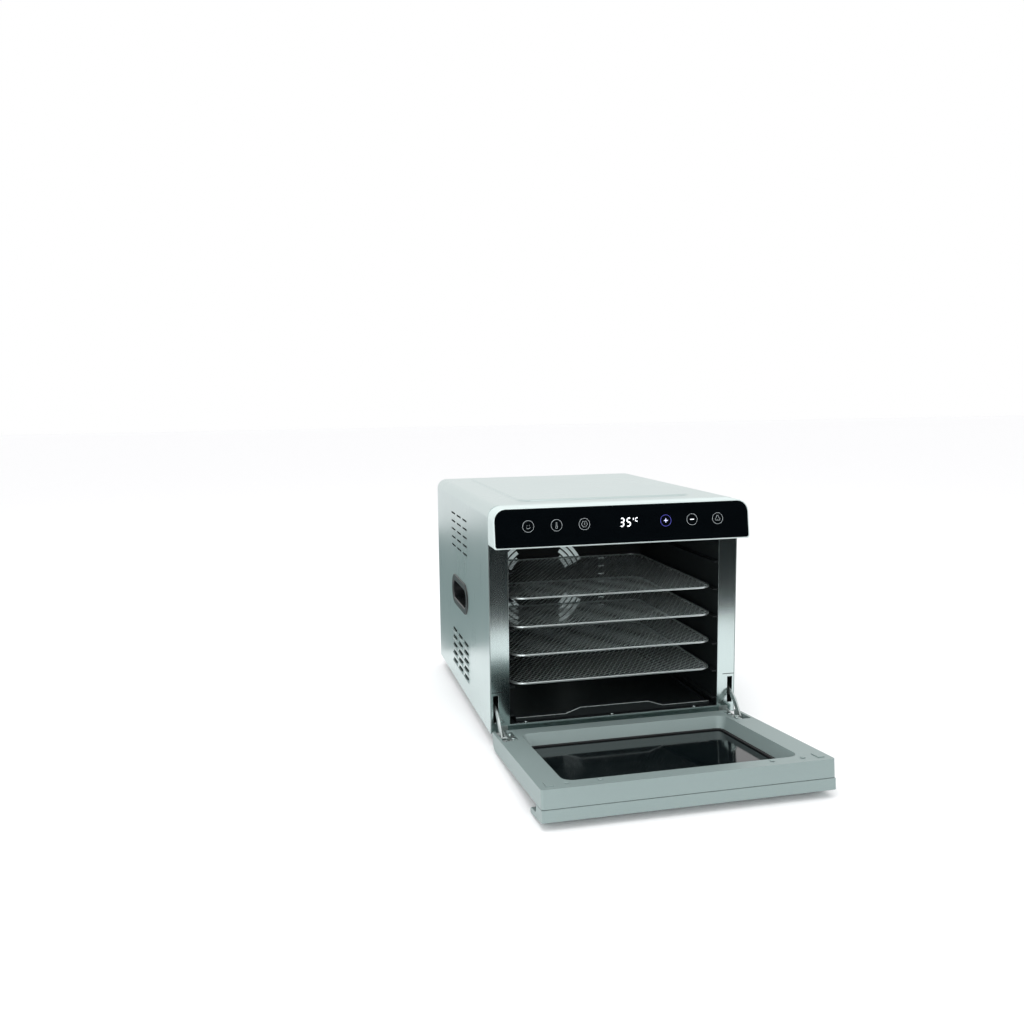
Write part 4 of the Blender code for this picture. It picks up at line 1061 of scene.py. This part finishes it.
def tray_wires(port, size):
    """The rim wire round a rounded rectangle, and zigzag strands side by side inside it."""
    outline = port.node("GeometryNodeCurvePrimitiveQuadrilateral", values={
        "Width": size["Half"] * 2.0, "Height": size["Long"] * 2.0})
    bent = outline.node("GeometryNodeFilletCurve", {"mode": 'POLY'}, {
        "Curve": outline, "Count": 8, "Radius": size["Corner"]})
    section = port.node("GeometryNodeCurvePrimitiveCircle", values={
        "Resolution": 12, "Radius": size["Wire"]})
    rim = bent.node("GeometryNodeCurveToMesh", values={"Curve": bent, "Profile Curve": section})

    line = port.node("GeometryNodeMeshLine", values={"Count": size["Points"], "Offset": (1.0, 0.0, 0.0)})
    row = port.node("GeometryNodeMeshLine", values={"Count": size["Rows"], "Offset": (0.0, 1.0, 0.0)})
    grid = row.node("GeometryNodeInstanceOnPoints", values={"Points": row, "Instance": line})
    flat = grid.node("GeometryNodeRealizeInstances", values={"Geometry": grid})
    place = port.node("GeometryNodeInputPosition")
    column, number = part_of(place, 0), part_of(place, 1)
    zigzag = (column + number).maths("FLOORED_MODULO", column + number, 2.0) * 2.0 - 1.0
    row_y = (number - (size["Rows"] - 1) * 0.5) * size["Along"] * 0.5
    bend = (size["Corner"] - size["Long"] + abs(row_y)).maths(
        "MAXIMUM", size["Corner"] - size["Long"] + abs(row_y), 0.0)
    limit = size["Half"] - size["Corner"] + (size["Corner"] ** 2.0 - bend ** 2.0) ** 0.5
    x = (column - (size["Points"] - 1) * 0.5) * size["Across"] * 0.5
    held = x.maths("MINIMUM", x.maths("MAXIMUM", x, limit * -1.0), limit)
    spot = place.node("ShaderNodeCombineXYZ", values={
        0: held, 1: row_y + zigzag * (size["Along"] * 0.25 - size["Gap"]), 2: 0.0})
    bent_rows = flat.node("GeometryNodeSetPosition", values={"Geometry": flat, "Position": spot})
    trimmed = bent_rows.node("GeometryNodeMergeByDistance", values={
        "Geometry": bent_rows, "Distance": size["Weld"]})
    strands = trimmed.node("GeometryNodeMeshToCurve", values={"Mesh": trimmed})
    thin = port.node("GeometryNodeCurvePrimitiveCircle", values={"Resolution": 4, "Radius": size["Strand"]})
    mesh = strands.node("GeometryNodeCurveToMesh", values={
        "Curve": strands, "Profile Curve": thin, "Fill Caps": True})
    both = gathered([rim, mesh])
    return both.node("GeometryNodeTransform", values={"Geometry": both, "Translation": size["Middle"]})


for number in (1, 2, 3, 4):
    low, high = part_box(f"tray_{number}_rim")
    tray_sizes = {"Half": TRAY_HALF, "Long": TRAY_LONG, "Corner": RIM_CORNER, "Wire": RIM_WIRE,
                  "Across": CELL_ACROSS, "Along": CELL_ALONG, "Strand": STRAND, "Gap": STRAND_GAP,
                  "Weld": STRAND_WELD,
                  "Points": int(4 * TRAY_HALF / CELL_ACROSS) + 3,
                  "Rows": int(4 * TRAY_LONG / CELL_ALONG) - 1,
                  "Middle": (0.0, TRAY_Y, (low.z + high.z) / 2)}
    place_piece(f"tray_{number}_wires", grown(f"tray_{number}_wires", WIRE_STEEL, tray_sizes, tray_wires),
                WIRE_STEEL, f"tray_{number}", [f"tray_{number}_rim", f"tray_{number}_mesh"])

# ================================================================ drip tray
# A shallow pressed tray of dark coated steel lies on the chamber floor. Its front wall rises into a tab
# that a finger can pull, and a bright steel bead along its upper edge is a painted highlight.

TRAY_COAT = finish("tray_coating", coated, Metallic=0.5, Coat_Weight=0.2, Coat_Roughness=0.3)
DRIP_LOW, DRIP_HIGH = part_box("drip_tray")
DRIP_RIM = 0.0335                       # top of its walls
TAB_FOOT = 0.069
TAB_HEAD = 0.048
BEAD = 0.0006
BEAD_SET = 0.0005                       # behind the tray's front
softened("drip_tray_sheet", "drip_tray", 0.0003, TRAY_COAT, "drip_tray")


def highlight_bead(port, size):
    """A bright bead along the front wall and over the tab, a painted highlight: one half, and its mirror."""
    runs = []
    for side in (-1.0, 1.0):
        mirror = port.node("ShaderNodeCombineXYZ", values={0: side, 1: 1.0, 2: 1.0})
        ends = [(size["Corner"], size["Foot"]), (size["Foot"], size["Head"]), (size["Head"], size["Middle"])]
        for start, end in ends:
            line = port.node("GeometryNodeCurvePrimitiveLine", values={
                0: start.node("ShaderNodeVectorMath", {"operation": 'MULTIPLY'}, {0: start, 1: mirror}),
                1: end.node("ShaderNodeVectorMath", {"operation": 'MULTIPLY'}, {0: end, 1: mirror})})
            runs.append(line)
    joined = gathered(runs)
    section = port.node("GeometryNodeCurvePrimitiveCircle", values={"Resolution": 8, "Radius": size["Bead"]})
    return joined.node("GeometryNodeCurveToMesh", values={
        "Curve": joined, "Profile Curve": section, "Fill Caps": True})


highlight_bead_y = DRIP_LOW.y + BEAD_SET
highlight_bead_sizes = {"Corner": (DRIP_HIGH.x, highlight_bead_y, DRIP_RIM), "Foot": (TAB_FOOT, highlight_bead_y, DRIP_RIM),
              "Head": (TAB_HEAD, highlight_bead_y, DRIP_HIGH.z), "Middle": (0.0, highlight_bead_y, DRIP_HIGH.z), "Bead": BEAD}
# The bead's bright steel is a painted highlight along the tray's front edge.
place_piece("drip_tray_highlight_bead", grown("drip_tray_highlight_bead", WIRE_STEEL, highlight_bead_sizes, highlight_bead), WIRE_STEEL,
            "drip_tray")
